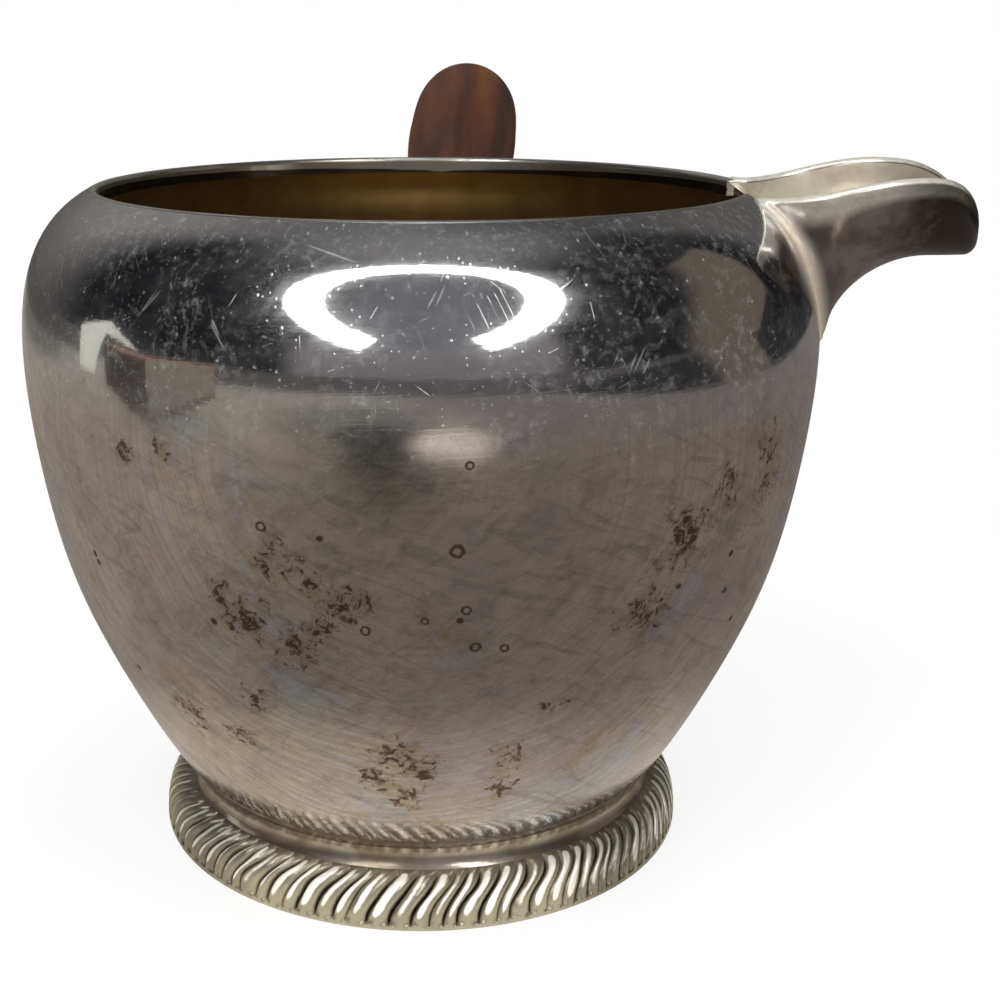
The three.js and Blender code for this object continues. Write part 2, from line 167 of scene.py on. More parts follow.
@dataclass
class Assembly:
    """Where the bowl's axis is in the frame, in millimetres, and how pieces are made round it."""

    axis: Array

    @classmethod
    def from_frame(cls) -> "Assembly":
        """The assembly whose axis is the middle of the gadrooned border."""
        low, high = (np.array(corner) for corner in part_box("gadroon_border"))
        middle = (low + high) / 2 / MM
        return cls(axis=np.array([middle[0], middle[1], 0.0]))

    def placed(self, points: Array) -> Array:
        """Points about the bowl's axis, in metres in the frame."""
        return (points + self.axis) * MM

    def spot(self, point: Point) -> Point:
        """One point about the bowl's axis, in metres in the frame."""
        return tuple(float(value) for value in self.placed(np.array(point)))

    def piece(
        self,
        name: str,
        patches: list[Patch],
        finishes: list[Material],
        node: str,
        slot: Slot,
        crease: float = 38.0,
    ) -> bpy.types.Object:
        """Makes one closed piece of its patches and hands it to the frame.

        Points that coincide are merged, so patches that share an edge become one skin, and
        the faces are turned outwards.

        Args:
            name: the piece's name.
            patches: its sheets of faces.
            finishes: its materials, in the order that the patches name them.
            node: the CAD node that it stands for.
            slot: the record's material slot; not used.
            crease: the angle in degrees past which an edge stays sharp.

        Returns:
            The finished object.
        """
        sizes = [patch.points.shape[:2] for patch in patches]
        firsts = np.cumsum([0] + [rows * columns for rows, columns in sizes])
        spots = np.concatenate([patch.points.reshape(-1, 3) for patch in patches])
        sheets = [patch.faces(int(first)) for patch, first in zip(patches, firsts)]
        mesh = bpy.data.meshes.new(name)
        mesh.from_pydata(self.placed(spots).tolist(), [], np.concatenate(sheets).tolist())
        numbers = [np.full(len(sheet), patch.finish) for patch, sheet in zip(patches, sheets)]
        mesh.polygons.foreach_set("material_index", np.concatenate(numbers).astype(np.int32))
        for mark in sorted({key for patch in patches for key in patch.marks}):
            values = [patch.marks.get(mark, np.zeros(size)) for patch, size in zip(patches, sizes)]
            joined = np.concatenate([value.ravel() for value in values])
            layer = mesh.attributes.new(mark, "FLOAT", "POINT")
            layer.data.foreach_set("value", joined.astype(np.float32))
        self.close_skin(mesh, crease)
        for finish in finishes:
            mesh.materials.append(finish)
        piece = bpy.data.objects.new(name, mesh)
        bpy.context.scene.collection.objects.link(piece)
        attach(piece, ROOT)
        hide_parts(node)
        log.info("%s: %d faces, stands for %s", name, len(mesh.polygons), node)
        return piece

    @staticmethod
    def close_skin(mesh: bpy.types.Mesh, crease: float) -> None:
        """Merges doubles, drops faces without area, turns faces outwards and shades smoothly.

        Args:
            mesh: the piece's mesh.
            crease: the angle in degrees past which an edge stays sharp.
        """
        skin = bmesh.new()
        skin.from_mesh(mesh)
        bmesh.ops.remove_doubles(skin, verts=skin.verts, dist=MERGED_WITHIN)
        bmesh.ops.dissolve_degenerate(skin, edges=skin.edges, dist=SHORTEST_EDGE)
        bmesh.ops.recalc_face_normals(skin, faces=skin.faces)
        skin.to_mesh(mesh)
        skin.free()
        mesh.shade_smooth()
        mesh.set_sharp_from_angle(angle=math.radians(crease))


# Shader writing


@dataclass
class Wire:
    """A shader socket that can stand in a sum."""

    bench: "Bench"
    socket: bpy.types.NodeSocket

    def math(self, operation: str, *others: "Wire | float", clamp: bool = False) -> "Wire":
        """This value joined with others by one Math node."""
        settings = {"operation": operation, "use_clamp": clamp}
        return self.bench.node("ShaderNodeMath", settings, dict(enumerate((self, *others))))

    def _flipped(self, operation: str, other: "Wire | float") -> "Wire":
        """A Math node with this value second."""
        return self.bench.node("ShaderNodeMath", {"operation": operation}, {0: other, 1: self})

    def __add__(self, other: "Wire | float") -> "Wire":
        """Sum."""
        return self.math("ADD", other)

    def __radd__(self, other: float) -> "Wire":
        """Sum with a number first."""
        return self._flipped("ADD", other)

    def __sub__(self, other: "Wire | float") -> "Wire":
        """Difference."""
        return self.math("SUBTRACT", other)

    def __rsub__(self, other: float) -> "Wire":
        """Difference from a number."""
        return self._flipped("SUBTRACT", other)

    def __mul__(self, other: "Wire | float") -> "Wire":
        """Product."""
        return self.math("MULTIPLY", other)

    def __rmul__(self, other: float) -> "Wire":
        """Product with a number first."""
        return self._flipped("MULTIPLY", other)

    def __truediv__(self, other: "Wire | float") -> "Wire":
        """Quotient."""
        return self.math("DIVIDE", other)

    def clamped(self) -> "Wire":
        """The value kept between 0 and 1."""
        return self.math("ADD", 0.0, clamp=True)

    def size(self) -> "Wire":
        """The value without its sign."""
        return self.math("ABSOLUTE")

    def larger(self, other: "Wire | float") -> "Wire":
        """The larger of two values."""
        return self.math("MAXIMUM", other)

    def rise(self, low: float, high: float) -> "Wire":
        """A smooth rise from 0 to 1 while the value goes from low to high, or the other way.

        Args:
            low: the value at which it is 0.
            high: the value at which it is 1.

        Returns:
            The rise.
        """
        settings = {"interpolation_type": "SMOOTHSTEP"}
        sockets = {"Value": self, "From Min": low, "From Max": high}
        return self.bench.node("ShaderNodeMapRange", settings, sockets)

    def output(self, name: str) -> "Wire":
        """Another output of the same node."""
        return Wire(self.bench, self.socket.node.outputs[name])


@dataclass
class Bench:
    """A node tree in which a finish or the room is put together."""

    tree: bpy.types.NodeTree

    @classmethod
    def material(cls, name: str) -> tuple["Bench", Material]:
        """A new material and the bench for its nodes.

        Args:
            name: the material's name.

        Returns:
            The bench and the material.
        """
        made = bpy.data.materials.new(name)
        made.use_nodes = True
        made.node_tree.nodes.clear()
        return cls(made.node_tree), made

    def node(
        self,
        kind: str,
        settings: dict[str, object] | None = None,
        sockets: dict[str | int, object] | None = None,
        output: str | int = 0,
    ) -> Wire:
        """Adds any node, sets it up, fills or links its sockets, and gives one output.

        Args:
            kind: the node's type.
            settings: the node's own settings. "stops" fills a colour ramp, each stop being a
                place and a colour.
            sockets: values or wires for its input sockets, by name or number.
            output: the output that is handed back, by name or number.

        Returns:
            The output as a wire.
        """
        made = self.tree.nodes.new(kind)
        for key, value in (settings or {}).items():
            if key == "stops":
                self._fill_ramp(made.color_ramp, value)
            else:
                setattr(made, key, value)
        for key, value in (sockets or {}).items():
            if isinstance(value, Wire):
                self.tree.links.new(value.socket, made.inputs[key])
            else:
                made.inputs[key].default_value = value
        return Wire(self, made.outputs[output]) if made.outputs else Wire(self, made.inputs[0])

    @staticmethod
    def _fill_ramp(ramp: bpy.types.ColorRamp, stops: list[tuple[float, Colour]]) -> None:
        """Sets a colour ramp's stops.

        Args:
            ramp: the colour ramp.
            stops: a place and a colour for each stop.
        """
        for extra in range(len(stops) - 2):
            ramp.elements.new((extra + 1) / len(stops))
        for element, (place, colour) in zip(ramp.elements, stops):
            element.position = place
            element.color = (*colour, 1.0)

    def place(self) -> Wire:
        """The surface point in the frame's own metres."""
        return self.node("ShaderNodeTexCoord", output="Object")

    def mark(self, name: str) -> Wire:
        """A value that the mesh carries at its points."""
        return self.node("ShaderNodeAttribute", {"attribute_name": name}, output="Fac")

    def vector(
        self, operation: str, first: object, second: object = None, output: str = "Vector"
    ) -> Wire:
        """One Vector Math node."""
        sockets = {0: first} if second is None else {0: first, 1: second}
        return self.node("ShaderNodeVectorMath", {"operation": operation}, sockets, output)

    def distance(self, place: Wire, spot: Point) -> Wire:
        """How far a place is from a spot, in metres."""
        return self.vector("DISTANCE", place, spot, "Value")

    def parts(self, vector: Wire) -> Wire:
        """A vector's X part, whose output method gives Y and Z."""
        return self.node("ShaderNodeSeparateXYZ", None, {0: vector}, "X")

    def about(self, place: Wire, centre: Point, turn: Point, sizes: Point) -> Wire:
        """The place from a centre along turned axes, in units of given sizes.

        Args:
            place: the place.
            centre: the centre, in metres.
            turn: degrees about the three axes.
            sizes: one unit's length along each, in millimetres.

        Returns:
            The place in those units.
        """
        sockets = {
            "Vector": place,
            "Location": centre,
            "Rotation": tuple(math.radians(angle) for angle in turn),
            "Scale": tuple(size * MM for size in sizes),
        }
        return self.node("ShaderNodeMapping", {"vector_type": "TEXTURE"}, sockets)

    def unrolled(self, place: Wire, centre: Point, radius: float) -> Wire:
        """The place round the bowl as a flat sheet: arc length from the front, and height.

        The arc length is the angle about the axis times a mean radius. Its seam is behind the
        handle's plate.

        Args:
            place: the surface point.
            centre: a point on the bowl's axis, in metres.
            radius: the radius in millimetres.

        Returns:
            A vector of arc length and height, in metres.
        """
        parts = self.parts(self.vector("SUBTRACT", place, centre))
        angle = parts.math("ARCTAN2", 0 - parts.output("Y"))
        sockets = {"X": angle * (radius * MM), "Y": parts.output("Z")}
        return self.node("ShaderNodeCombineXYZ", None, sockets)

    def noise(
        self,
        where: Wire,
        size: float = 0.0,
        detail: float = 2.0,
        rough: float = 0.5,
        warp: float = 0.0,
        flat: bool = False,
    ) -> Wire:
        """Cloudy noise between 0 and 1.

        Args:
            where: the place at which it is read.
            size: the clouds' size in millimetres; without it they are one unit large.
            detail: how many finer layers are added.
            rough: how strong these are.
            warp: how far the clouds are distorted.
            flat: whether only the first two parts of the place count.

        Returns:
            The noise.
        """
        settings = {"noise_dimensions": "2D" if flat else "3D"}
        sockets = {
            "Vector": where,
            "Scale": 1 / (size * MM) if size else 1.0,
            "Detail": detail,
            "Roughness": rough,
            "Distortion": warp,
        }
        return self.node("ShaderNodeTexNoise", settings, sockets, "Fac")

    def streaks(
        self, sheet: Wire, turn: float, sizes: Spot, detail: float, rough: float, warp: float = 0.0
    ) -> Wire:
        """Noise on a flat sheet, in clouds of a length and width (mm) along a turned line."""
        where = self.about(sheet, (0, 0, 0), (0, 0, turn), (*sizes, 1.0))
        return self.noise(where, 0.0, detail, rough, warp, flat=True)

    def tint(self, factor: Wire | float, first: object, second: object) -> Wire:
        """Two colours mixed by a factor.

        Args:
            factor: the second colour's share.
            first: a colour or wire.
            second: another.

        Returns:
            The mixed colour.
        """
        paints = [(*c, 1.0) if isinstance(c, tuple) else c for c in (first, second)]
        settings = {"data_type": "RGBA", "clamp_factor": True}
        return self.node("ShaderNodeMix", settings, {0: factor, 6: paints[0], 7: paints[1]}, 2)

    def bump(self, height: Wire, strength: float, distance: float) -> Wire:
        """A bumped normal from a height."""
        sockets = {"Height": height, "Strength": strength, "Distance": distance * MM}
        return self.node("ShaderNodeBump", None, sockets, "Normal")

    def surface(self, sockets: dict[str, object]) -> Wire:
        """A Principled surface."""
        return self.node("ShaderNodeBsdfPrincipled", None, sockets, "BSDF")

    def glow(self, colour: Wire | Colour, strength: float = 1.0) -> Wire:
        """A surface that shines by itself.

        Args:
            colour: a colour or wire.
            strength: how bright it is.

        Returns:
            The surface.
        """
        paint = (*colour, 1.0) if isinstance(colour, tuple) else colour
        sockets = {"Color": paint, "Strength": strength}
        return self.node("ShaderNodeEmission", None, sockets, "Emission")

    def blended(self, factor: Wire | float, first: Wire, second: Wire) -> Wire:
        """Two surfaces mixed by a factor."""
        return self.node("ShaderNodeMixShader", None, {0: factor, 1: first, 2: second}, "Shader")

    def finish(self, shader: Wire, kind: str = "ShaderNodeOutputMaterial") -> None:
        """Links a shader to the tree's output."""
        self.node(kind, None, {"Surface": shader})


# Finishes


class MarkKind(Enum):
    """What a single blemish on the silver looks like."""

    SPOT = "spot"
    RING = "ring"
    PATCH = "patch"
    # Not a blemish: painted shade where the bowl mirrors the spout's shadowed underside.
    SMOKE = "smoke"


@dataclass(frozen=True)
class Blemish:
    """One blemish on the bowl, given in degrees and millimetres.

    Its turn is counted from the direction opposite the handle, positive towards the spout, its
    height is above the table, and its size is a radius.
    """

    turn: float
    height: float
    size: float
    kind: MarkKind


SPOTS = (
    (9.0, 36.1), (-24.1, 34.1), (-46.7, 37.2), (-46.2, 36.4), (50.2, 38.1), (40.1, 36.5), (51.2, 34.1),
    (56.8, 29.9), (-46.0, 24.9), (-7.9, 43.6),
)
RINGS = (
    (-15.3, 44.2, 0.45), (8.4, 42.7, 0.6), (4.6, 36.1, 0.3), (-2.9, 35.0, 0.42), (14.9, 33.1, 0.4),
    (9.7, 37.1, 0.42), (11.1, 33.4, 0.45), (9.7, 50.3, 0.35),
)
PATCHES = (
    (-19.3, 34.9, 2.8), (-22.2, 37.0, 1.6), (-13.6, 40.8, 2.2), (-10.0, 39.6, 1.9), (-11.6, 32.8, 2.4),
    (-9.0, 34.7, 1.9), (-5.2, 37.4, 2.6), (-35.2, 49.1, 1.2), (-28.9, 50.0, 1.2), (-20.8, 26.1, 1.8),
    (-35.9, 22.5, 2.4), (-25.7, 20.9, 1.5), (0.1, 21.1, 2.9), (3.6, 19.2, 2.2), (-2.8, 17.7, 2.2),
    (1.5, 15.6, 2.0), (18.2, 20.4, 2.0), (39.4, 41.3, 3.4), (37.8, 42.4, 1.6), (34.8, 34.6, 3.0),
    (46.3, 45.5, 2.0), (55.2, 48.0, 2.2), (56.4, 44.0, 2.0), (24.2, 26.6, 1.8), (17.8, 15.9, 1.8),
)
# Painted shade by the spout's root: soft dark places where the bowl mirrors the spout's underside in
# shadow.
SPOUT_SHADE_SPOTS = ((63.6, 61.6, 1.7), (64.6, 63.8, 2.0), (66.0, 65.6, 1.5))


@dataclass(frozen=True)
class Scratch:
    """One long scratch on the bowl's shoulder.

    Its middle is placed as a blemish is. It rises by an angle in degrees towards the spout, and
    half is half its length in millimetres.
    """

    turn: float
    height: float
    angle: float
    half: float


@dataclass(frozen=True)
class Flecks:
    """A grid of cells on the unrolled bowl, a share of which carry one small mark.

    The grid is turned by degrees. Its cells have a length and width in millimetres, and half is
    half a mark's length, as a share of its cell's.
    """

    turn: float
    length: float
    width: float
    share: float = 0.05
    half: float = 0.15
    weight: float = 0.6


SCRATCHES = tuple(
    Scratch(*row)
    for row in (
        (-31.3, 62.2, 58.0, 1.4), (-30.6, 62.5, 52.0, 1.2), (-20.3, 60.3, -54.0, 1.3),
        (-20.6, 60.9, -58.0, 0.9), (-7.4, 67.0, -14.0, 2.6), (29.4, 58.0, 66.0, 1.0),
        (30.3, 58.2, 62.0, 1.2), (31.2, 57.6, 58.0, 0.8), (5.4, 63.7, 60.0, 0.8),
        (6.4, 64.0, 64.0, 0.9), (22.0, 64.6, 30.0, 0.8),
    )
)
FLECK_GRIDS = (
    Flecks(0.0, 0.62, 0.62, share=0.34, half=0.16),
    Flecks(20.0, 1.5, 1.5, share=0.25, half=0.10, weight=1.0),
    Flecks(62.0, 5.0, 0.26),
    Flecks(-38.0, 6.5, 0.24),
    Flecks(24.0, 4.0, 0.28),
    Flecks(96.0, 5.5, 0.26),
    Flecks(-66.0, 9.0, 0.30),
)
SPOT_RADIUS = 0.42
BLEMISHES = (
    *(Blemish(*row, SPOT_RADIUS, MarkKind.SPOT) for row in SPOTS),
    *(Blemish(*row, MarkKind.RING) for row in RINGS),
    *(Blemish(*row, MarkKind.PATCH) for row in PATCHES),
    *(Blemish(*row, MarkKind.SMOKE) for row in SPOUT_SHADE_SPOTS),
)


@dataclass(frozen=True)
class Ground:
    """The bowl's surface as its finish reads it: a place, and the same on the unrolled sheet."""

    bench: Bench
    assembly: Assembly
    outline: "BowlShape"
    place: Wire
    sheet: Wire


@dataclass(frozen=True)
class Wear:
    """Values of wear on the bowl that colour, haze and relief share, each about 0 to 1.

    The dull lower body is low, and dull is the same, less so by the foot. Wiping are nearly
    level streaks, arcs curved ones, and smudge slanting smears. Patch is the ragged distance
    from the tarnished patches.
    """

    low: Wire
    dull: Wire
    cloud: Wire
    grain: Wire
    wiping: Wire
    arcs: Wire
    scuff: Wire
    smudge: Wire
    patch: Wire
    dirt: Wire


@dataclass(frozen=True)
class SilverFinish:
    """Worn silver plate: a clear mirror mixed with a hazy one, stains, tarnish and scratches.

    The upper body is a fairly clear mirror, whose hazy share is haze. Below the middle the plate
    is dull, brownish and covered with curved marks of wiping round swirl_centre. Lengths are in
    millimetres, and unroll_radius is the mean radius at which the bowl is unrolled.
    """

    name: str = "worn_silver"
    bright: Colour = (0.65, 0.65, 0.66)
    beige: Colour = (0.72, 0.655, 0.57)
    mauve: Colour = (0.60, 0.545, 0.55)
    bluish: Colour = (0.60, 0.635, 0.71)
    ochre: Colour = (0.47, 0.36, 0.23)
    veined: Colour = (0.34, 0.31, 0.30)
    scuffed: Colour = (0.95, 0.95, 0.94)
    # Painted shade by the spout's root.
    smoke: Colour = (0.14, 0.105, 0.09)
    tarnish: Colour = (0.105, 0.066, 0.038)
    clear_roughness: float = 0.045
    haze_roughness: float = 0.19
    haze: float = 0.27
    low_from: float = 58.0
    low_full: float = 47.0
    foot_from: float = 13.5
    foot_full: float = 8.5
    unroll_radius: float = 38.0
    swirl_centre: Point = (2.0, -38.0, 50.0)
    swirl_width: float = 0.42
    calm_reach: Spot = (9.0, 20.0)
    scratch_half_width: float = 0.085
    speck_film: float = 0.13
    scuff_film: float = 0.09
    blemishes: tuple[Blemish, ...] = BLEMISHES

    def make(self, assembly: Assembly, outline: "BowlShape") -> Material:
        """Builds the material for the bowl that has this outline.

        Args:
            assembly: where the bowl's axis is.
            outline: the outline on which the blemishes lie.

        Returns:
            The material.
        """
        bench, made = Bench.material(self.name)
        place = bench.place()
        sheet = bench.unrolled(place, assembly.spot((0.0, 0.0, 0.0)), self.unroll_radius)
        ground = Ground(bench, assembly, outline, place, sheet)
        wear = self.wear(ground)
        texture = (wear.wiping - 0.5) * 0.5 + (wear.cloud - 0.5) * 0.5
        texture = texture + (wear.arcs - 0.5) * 0.4 * wear.dull + (wear.smudge - 0.5) * 0.9
        haze = (wear.dull * 0.36 + self.haze + texture + wear.scuff * 0.6).clamped()
        relief = wear.wiping * 0.25 + wear.arcs * 0.22 * wear.dull + wear.grain * 0.18
        relief = relief + wear.scuff * 0.4 - wear.dirt * 0.6
        wide = wear.cloud * 0.10 + wear.dull * 0.17 + wear.dirt * 0.2 + (self.haze_roughness - 0.05)
        sockets = {
            "Base Color": self.colour(ground, wear),
            "Metallic": 1 - self.film(ground, wear),
            "Normal": bench.bump(relief, 0.6, 0.02),
        }
        narrow = wear.dirt * 0.3 + wear.dull * 0.06 + self.clear_roughness
        clear = bench.surface(sockets | {"Roughness": narrow})
        hazy = bench.surface(sockets | {"Roughness": wide.clamped()})
        bench.finish(bench.blended(haze, clear, hazy))
        return made

    def wear(self, ground: Ground) -> Wear:
        """The values of wear at each point.

        Args:
            ground: the bowl's surface.

        Returns:
            The values.
        """
        bench, place, sheet = ground.bench, ground.place, ground.sheet
        height = bench.parts(place).output("Z")
        low = height.rise(self.low_from * MM, self.low_full * MM)
        by_foot = height.rise(self.foot_from * MM, self.foot_full * MM)
        ragged = (bench.noise(place, 2.6, 4.0, 0.7) - 0.5) * 2.6
        patch = self.nearest(MarkKind.PATCH, ground) + ragged
        return Wear(
            low=low,
            dull=low * (1 - by_foot * 0.7),
            cloud=bench.noise(place, 17.0, 4.0, 0.6, 0.5),
            grain=bench.noise(place, 1.0, 3.0, 0.7),
            wiping=bench.streaks(sheet, 3, (14.0, 0.45), 4.0, 0.7),
            arcs=self.swirls(ground).rise(0.34, 0.66),
            scuff=self.scuffs(ground, low),
            smudge=bench.streaks(sheet, 35, (3.6, 1.5), 6.0, 0.78, 0.6),
            patch=patch,
            dirt=self.dirt(ground, patch),
        )

    def colour(self, ground: Ground, wear: Wear) -> Wire:
        """The plate's colour: metal, stains, veins, scratches, painted shade and tarnish over it.

        Args:
            ground: the bowl's surface.
            wear: its wear.

        Returns:
            The colour.
        """
        bench, place = ground.bench, ground.place
        grain = wear.grain - 0.5
        hue = bench.noise(place, 21.0, 3.0, 0.5, 0.8)
        below = bench.tint(hue.rise(0.40, 0.60), self.beige, self.mauve)
        below = bench.tint(wear.cloud.rise(0.54, 0.66) * 0.9, below, self.bluish)
        colour = bench.tint(wear.low, self.bright, below)
        halo = (bench.noise(place, 2.2, 5.0, 0.75, 0.5) - wear.patch * 0.16).rise(0.30, 0.52)
        stain = (bench.noise(place, 9.0, 6.0, 0.68, 0.6) + grain * 0.25).rise(0.52, 0.74) * 0.7
        rubbed = (halo * 0.62).larger(stain) * (wear.low * 0.8 + 0.1)
        stained = (rubbed + grain * 0.3 + wear.arcs * wear.low * 0.38).clamped()
        colour = bench.tint(stained, colour, self.ochre)
        veins = bench.streaks(ground.sheet, -24, (9.0, 1.6), 5.0, 0.7, 1.2).rise(0.52, 0.30)
        smears = wear.smudge.rise(0.54, 0.34)
        colour = bench.tint((veins * 0.48 + smears * 0.36) * wear.low, colour, self.veined)
        colour = bench.tint(wear.scuff * 0.85, colour, self.scuffed)
        # Painted shade: darker by the spout's root, where the bowl mirrors the spout's shadowed
        # underside.
        smoke = self.nearest(MarkKind.SMOKE, ground).rise(1.5, 0.6)
        colour = bench.tint(smoke * 0.85, colour, self.smoke)
        return bench.tint(wear.dirt, colour, self.tarnish)

    def film(self, ground: Ground, wear: Wear) -> Wire:
        """A thin film on the clear upper body: clustered specks, and the scratches.

        Args:
            ground: the bowl's surface.
            wear: its wear.

        Returns:
            How much of the metal it hides.
        """
        specks = ground.bench.noise(ground.place, 0.9, 5.0, 0.75, 0.4).rise(0.46, 0.76)
        clusters = ground.bench.noise(ground.place, 6.5, 3.0, 0.55, 0.5).rise(0.36, 0.62)
        film = specks * clusters * self.speck_film + wear.scuff * self.scuff_film
        return film * (1 - wear.dull * 0.8)

    def swirls(self, ground: Ground) -> Wire:
        """Marks of polishing by hand: noise drawn on the distance from one point, so in arcs.

        Args:
            ground: the bowl's surface.

        Returns:
            Their strength, 0.5 where there are none.
        """
        bench = ground.bench
        reach = bench.distance(ground.place, ground.assembly.spot(self.swirl_centre))
        calm, full = (limit * MM for limit in self.calm_reach)
        away = reach * (1 / (self.swirl_width * MM)) + bench.noise(ground.place, 14.0, 1.0) * 7.0
        slow = bench.parts(ground.sheet) * (1 / (9.0 * MM))
        arcs = bench.node("ShaderNodeCombineXYZ", None, {"X": away, "Y": slow})
        return (bench.noise(arcs, 0.0, 3.0, 0.6, flat=True) - 0.5) * reach.rise(calm, full) + 0.5

    def scuffs(self, ground: Ground, low: Wire) -> Wire:
        """Fine scratches and specks, fainter on the lower body.

        Args:
            ground: the bowl's surface.
            low: the dull lower body.

        Returns:
            Their strength.
        """
        marks = [self.flecks(ground, flecks) for flecks in FLECK_GRIDS]
        marks += [self.scratch(ground, scratch) for scratch in SCRATCHES]
        return reduce(Wire.larger, marks) * (1 - low * 0.7)

    def scratch(self, ground: Ground, scratch: Scratch) -> Wire:
        """One long scratch: a thin oval on the unrolled bowl.

        Args:
            ground: the bowl's surface.
            scratch: its place and size.

        Returns:
            Its strength.
        """
        across = math.radians(scratch.turn) * self.unroll_radius * MM
        sizes = (scratch.half, self.scratch_half_width, 1.0)
        middle = (across, scratch.height * MM, 0.0)
        where = ground.bench.about(ground.sheet, middle, (0, 0, scratch.angle), sizes)
        return ground.bench.vector("LENGTH", where, output="Value").rise(1.15, 0.6) * 0.9

    @staticmethod
    def flecks(ground: Ground, flecks: Flecks) -> Wire:
        """One mark in a share of the cells of a stretched grid.

        Args:
            ground: the bowl's surface.
            flecks: the grid.

        Returns:
            The marks' strength.
        """
        bench, half = ground.bench, flecks.half
        sizes = (flecks.length, flecks.width, 1.0)
        where = bench.about(ground.sheet, (0, 0, 0), (0, 0, flecks.turn), sizes)
        sockets = {"Vector": where, "Scale": 1.0}
        cell = bench.node("ShaderNodeTexVoronoi", {"voronoi_dimensions": "2D"}, sockets, "Distance")
        chosen = bench.parts(cell.output("Color")).rise(1 - flecks.share, 1 - flecks.share * 0.3)
        return cell.rise(half, half * 0.6) * chosen * flecks.weight

    def dirt(self, ground: Ground, patch: Wire) -> Wire:
        """The tarnished blemishes, each round its own point and frayed by noise.

        Args:
            ground: the bowl's surface.
            patch: ragged distance from the patches.

        Returns:
            Their strength.
        """
        fray = ground.bench.noise(ground.place, 0.8, 3.0, 0.65) - 0.5
        crust = ground.bench.noise(ground.place, 1.1, 6.0, 0.78, 0.7)
        spot = self.nearest(MarkKind.SPOT, ground) + fray * 1.2
        ring = self.nearest(MarkKind.RING, ground) + fray * 0.9
        spotted = spot.rise(1.0, 0.6) * 0.9
        ringed = (ring - 0.85).size().rise(0.42, 0.15) * 0.85
        patched = (crust - patch * 0.085).rise(0.455, 0.53) * patch.rise(1.45, 0.7) * 0.9
        return spotted.larger(ringed).larger(patched)

    def nearest(self, kind: MarkKind, ground: Ground) -> Wire:
        """Distance to the nearest blemish of a kind, each measured in its own radius.

        Args:
            kind: the blemishes' kind.
            ground: the bowl's surface.

        Returns:
            The distance.
        """
        total: Wire | None = None
        for blemish in (mark for mark in self.blemishes if mark.kind is kind):
            radius = float(ground.outline.radius(np.array([blemish.height]))[0])
            angle = math.radians(blemish.turn - 90)
            spot = (radius * math.cos(angle), radius * math.sin(angle), blemish.height)
            away = ground.bench.distance(ground.place, ground.assembly.spot(spot))
            away = away * (1 / (blemish.size * MM))
            total = away if total is None else total.math("MINIMUM", away)
        return total


@dataclass(frozen=True)
class InsideFinish:
    """The inside of the bowl: tarnished to a dark brownish gold, in clouds and upright runs."""

    name: str = "tarnished_inside"
    colour: Colour = (0.78, 0.63, 0.38)
    dark: Colour = (0.26, 0.18, 0.08)
    roughness: float = 0.34
    run_sizes: Point = (5.0, 5.0, 40.0)

    def make(self) -> Material:
        """Builds the material."""
        bench, made = Bench.material(self.name)
        place = bench.place()
        cloud = bench.noise(place, 14.0, 4.0, 0.6, 0.4)
        runs = bench.noise(bench.about(place, (0, 0, 0), (0, 0, 0), self.run_sizes), detail=3.0)
        colour = bench.tint((cloud * 0.7 + runs * 0.7 - 0.2).clamped(), self.colour, self.dark)
        rough = cloud * 0.2 + (self.roughness - 0.1)
        bench.finish(bench.surface({"Base Color": colour, "Metallic": 1.0, "Roughness": rough}))
        return made


@dataclass(frozen=True)
class FittingFinish:
    """Cast or raised silver fittings: spout, band, neck, plate and socket.

    The mesh may carry three marks: joint for solder, worn for a rubbed bright edge, and
    smoke for dark tarnish on the spout towards its nose and a darker inner side on
    the band. Frost is how much of the metal a pale film hides, mottle the size of the tired
    clouds and relief the height of the bumps, in millimetres.
    """

    name: str
    bright: Colour = (0.66, 0.64, 0.60)
    dull: Colour = (0.40, 0.34, 0.27)
    joint: Colour = (0.74, 0.64, 0.50)
    worn: Colour = (0.97, 0.94, 0.82)
    smoke: Colour = (0.085, 0.068, 0.056)
    clear_roughness: float = 0.12
    haze_roughness: float = 0.38
    haze: float = 0.45
    frost: float = 0.0
    mottle: float = 5.0
    relief: float = 0.03

    def make(self) -> Material:
        """Builds the material."""
        bench, made = Bench.material(self.name)
        place = bench.place()
        cloud = bench.noise(place, self.mottle, 4.0, 0.62, 0.5)
        grain = bench.noise(place, 0.9, 3.0, 0.65)
        joint, worn, smoke = (bench.mark(mark) for mark in ("joint", "worn", "smoke"))
        tired = (cloud.rise(0.38, 0.64) * 0.75 + (grain - 0.5) * 0.6).clamped()
        smoked = (smoke * (cloud + grain * 0.6)).rise(0.12, 0.85)
        soldered = (joint + (grain - 0.5) * 0.5 * joint).clamped()
        rubbed = (worn * (grain * 0.9 + 0.6)).clamped()
        colour = bench.tint(tired, self.bright, self.dull)
        colour = bench.tint(smoked, colour, self.smoke)
        colour = bench.tint(soldered, colour, self.joint)
        colour = bench.tint(rubbed, colour, self.worn)
        sockets = {
            "Base Color": colour,
            "Metallic": (1 - rubbed * 0.35 - joint * 0.35 - self.frost).clamped(),
            "Normal": bench.bump(grain * 0.5 + cloud * 0.4, 0.6, self.relief),
        }
        clear = bench.surface(sockets | {"Roughness": tired * 0.1 + self.clear_roughness})
        hazy = bench.surface(sockets | {"Roughness": joint * 0.15 + self.haze_roughness})
        haze = (tired * 0.3 + joint * 0.5 + self.haze).clamped()
        bench.finish(bench.blended(haze, clear, hazy))
        return made


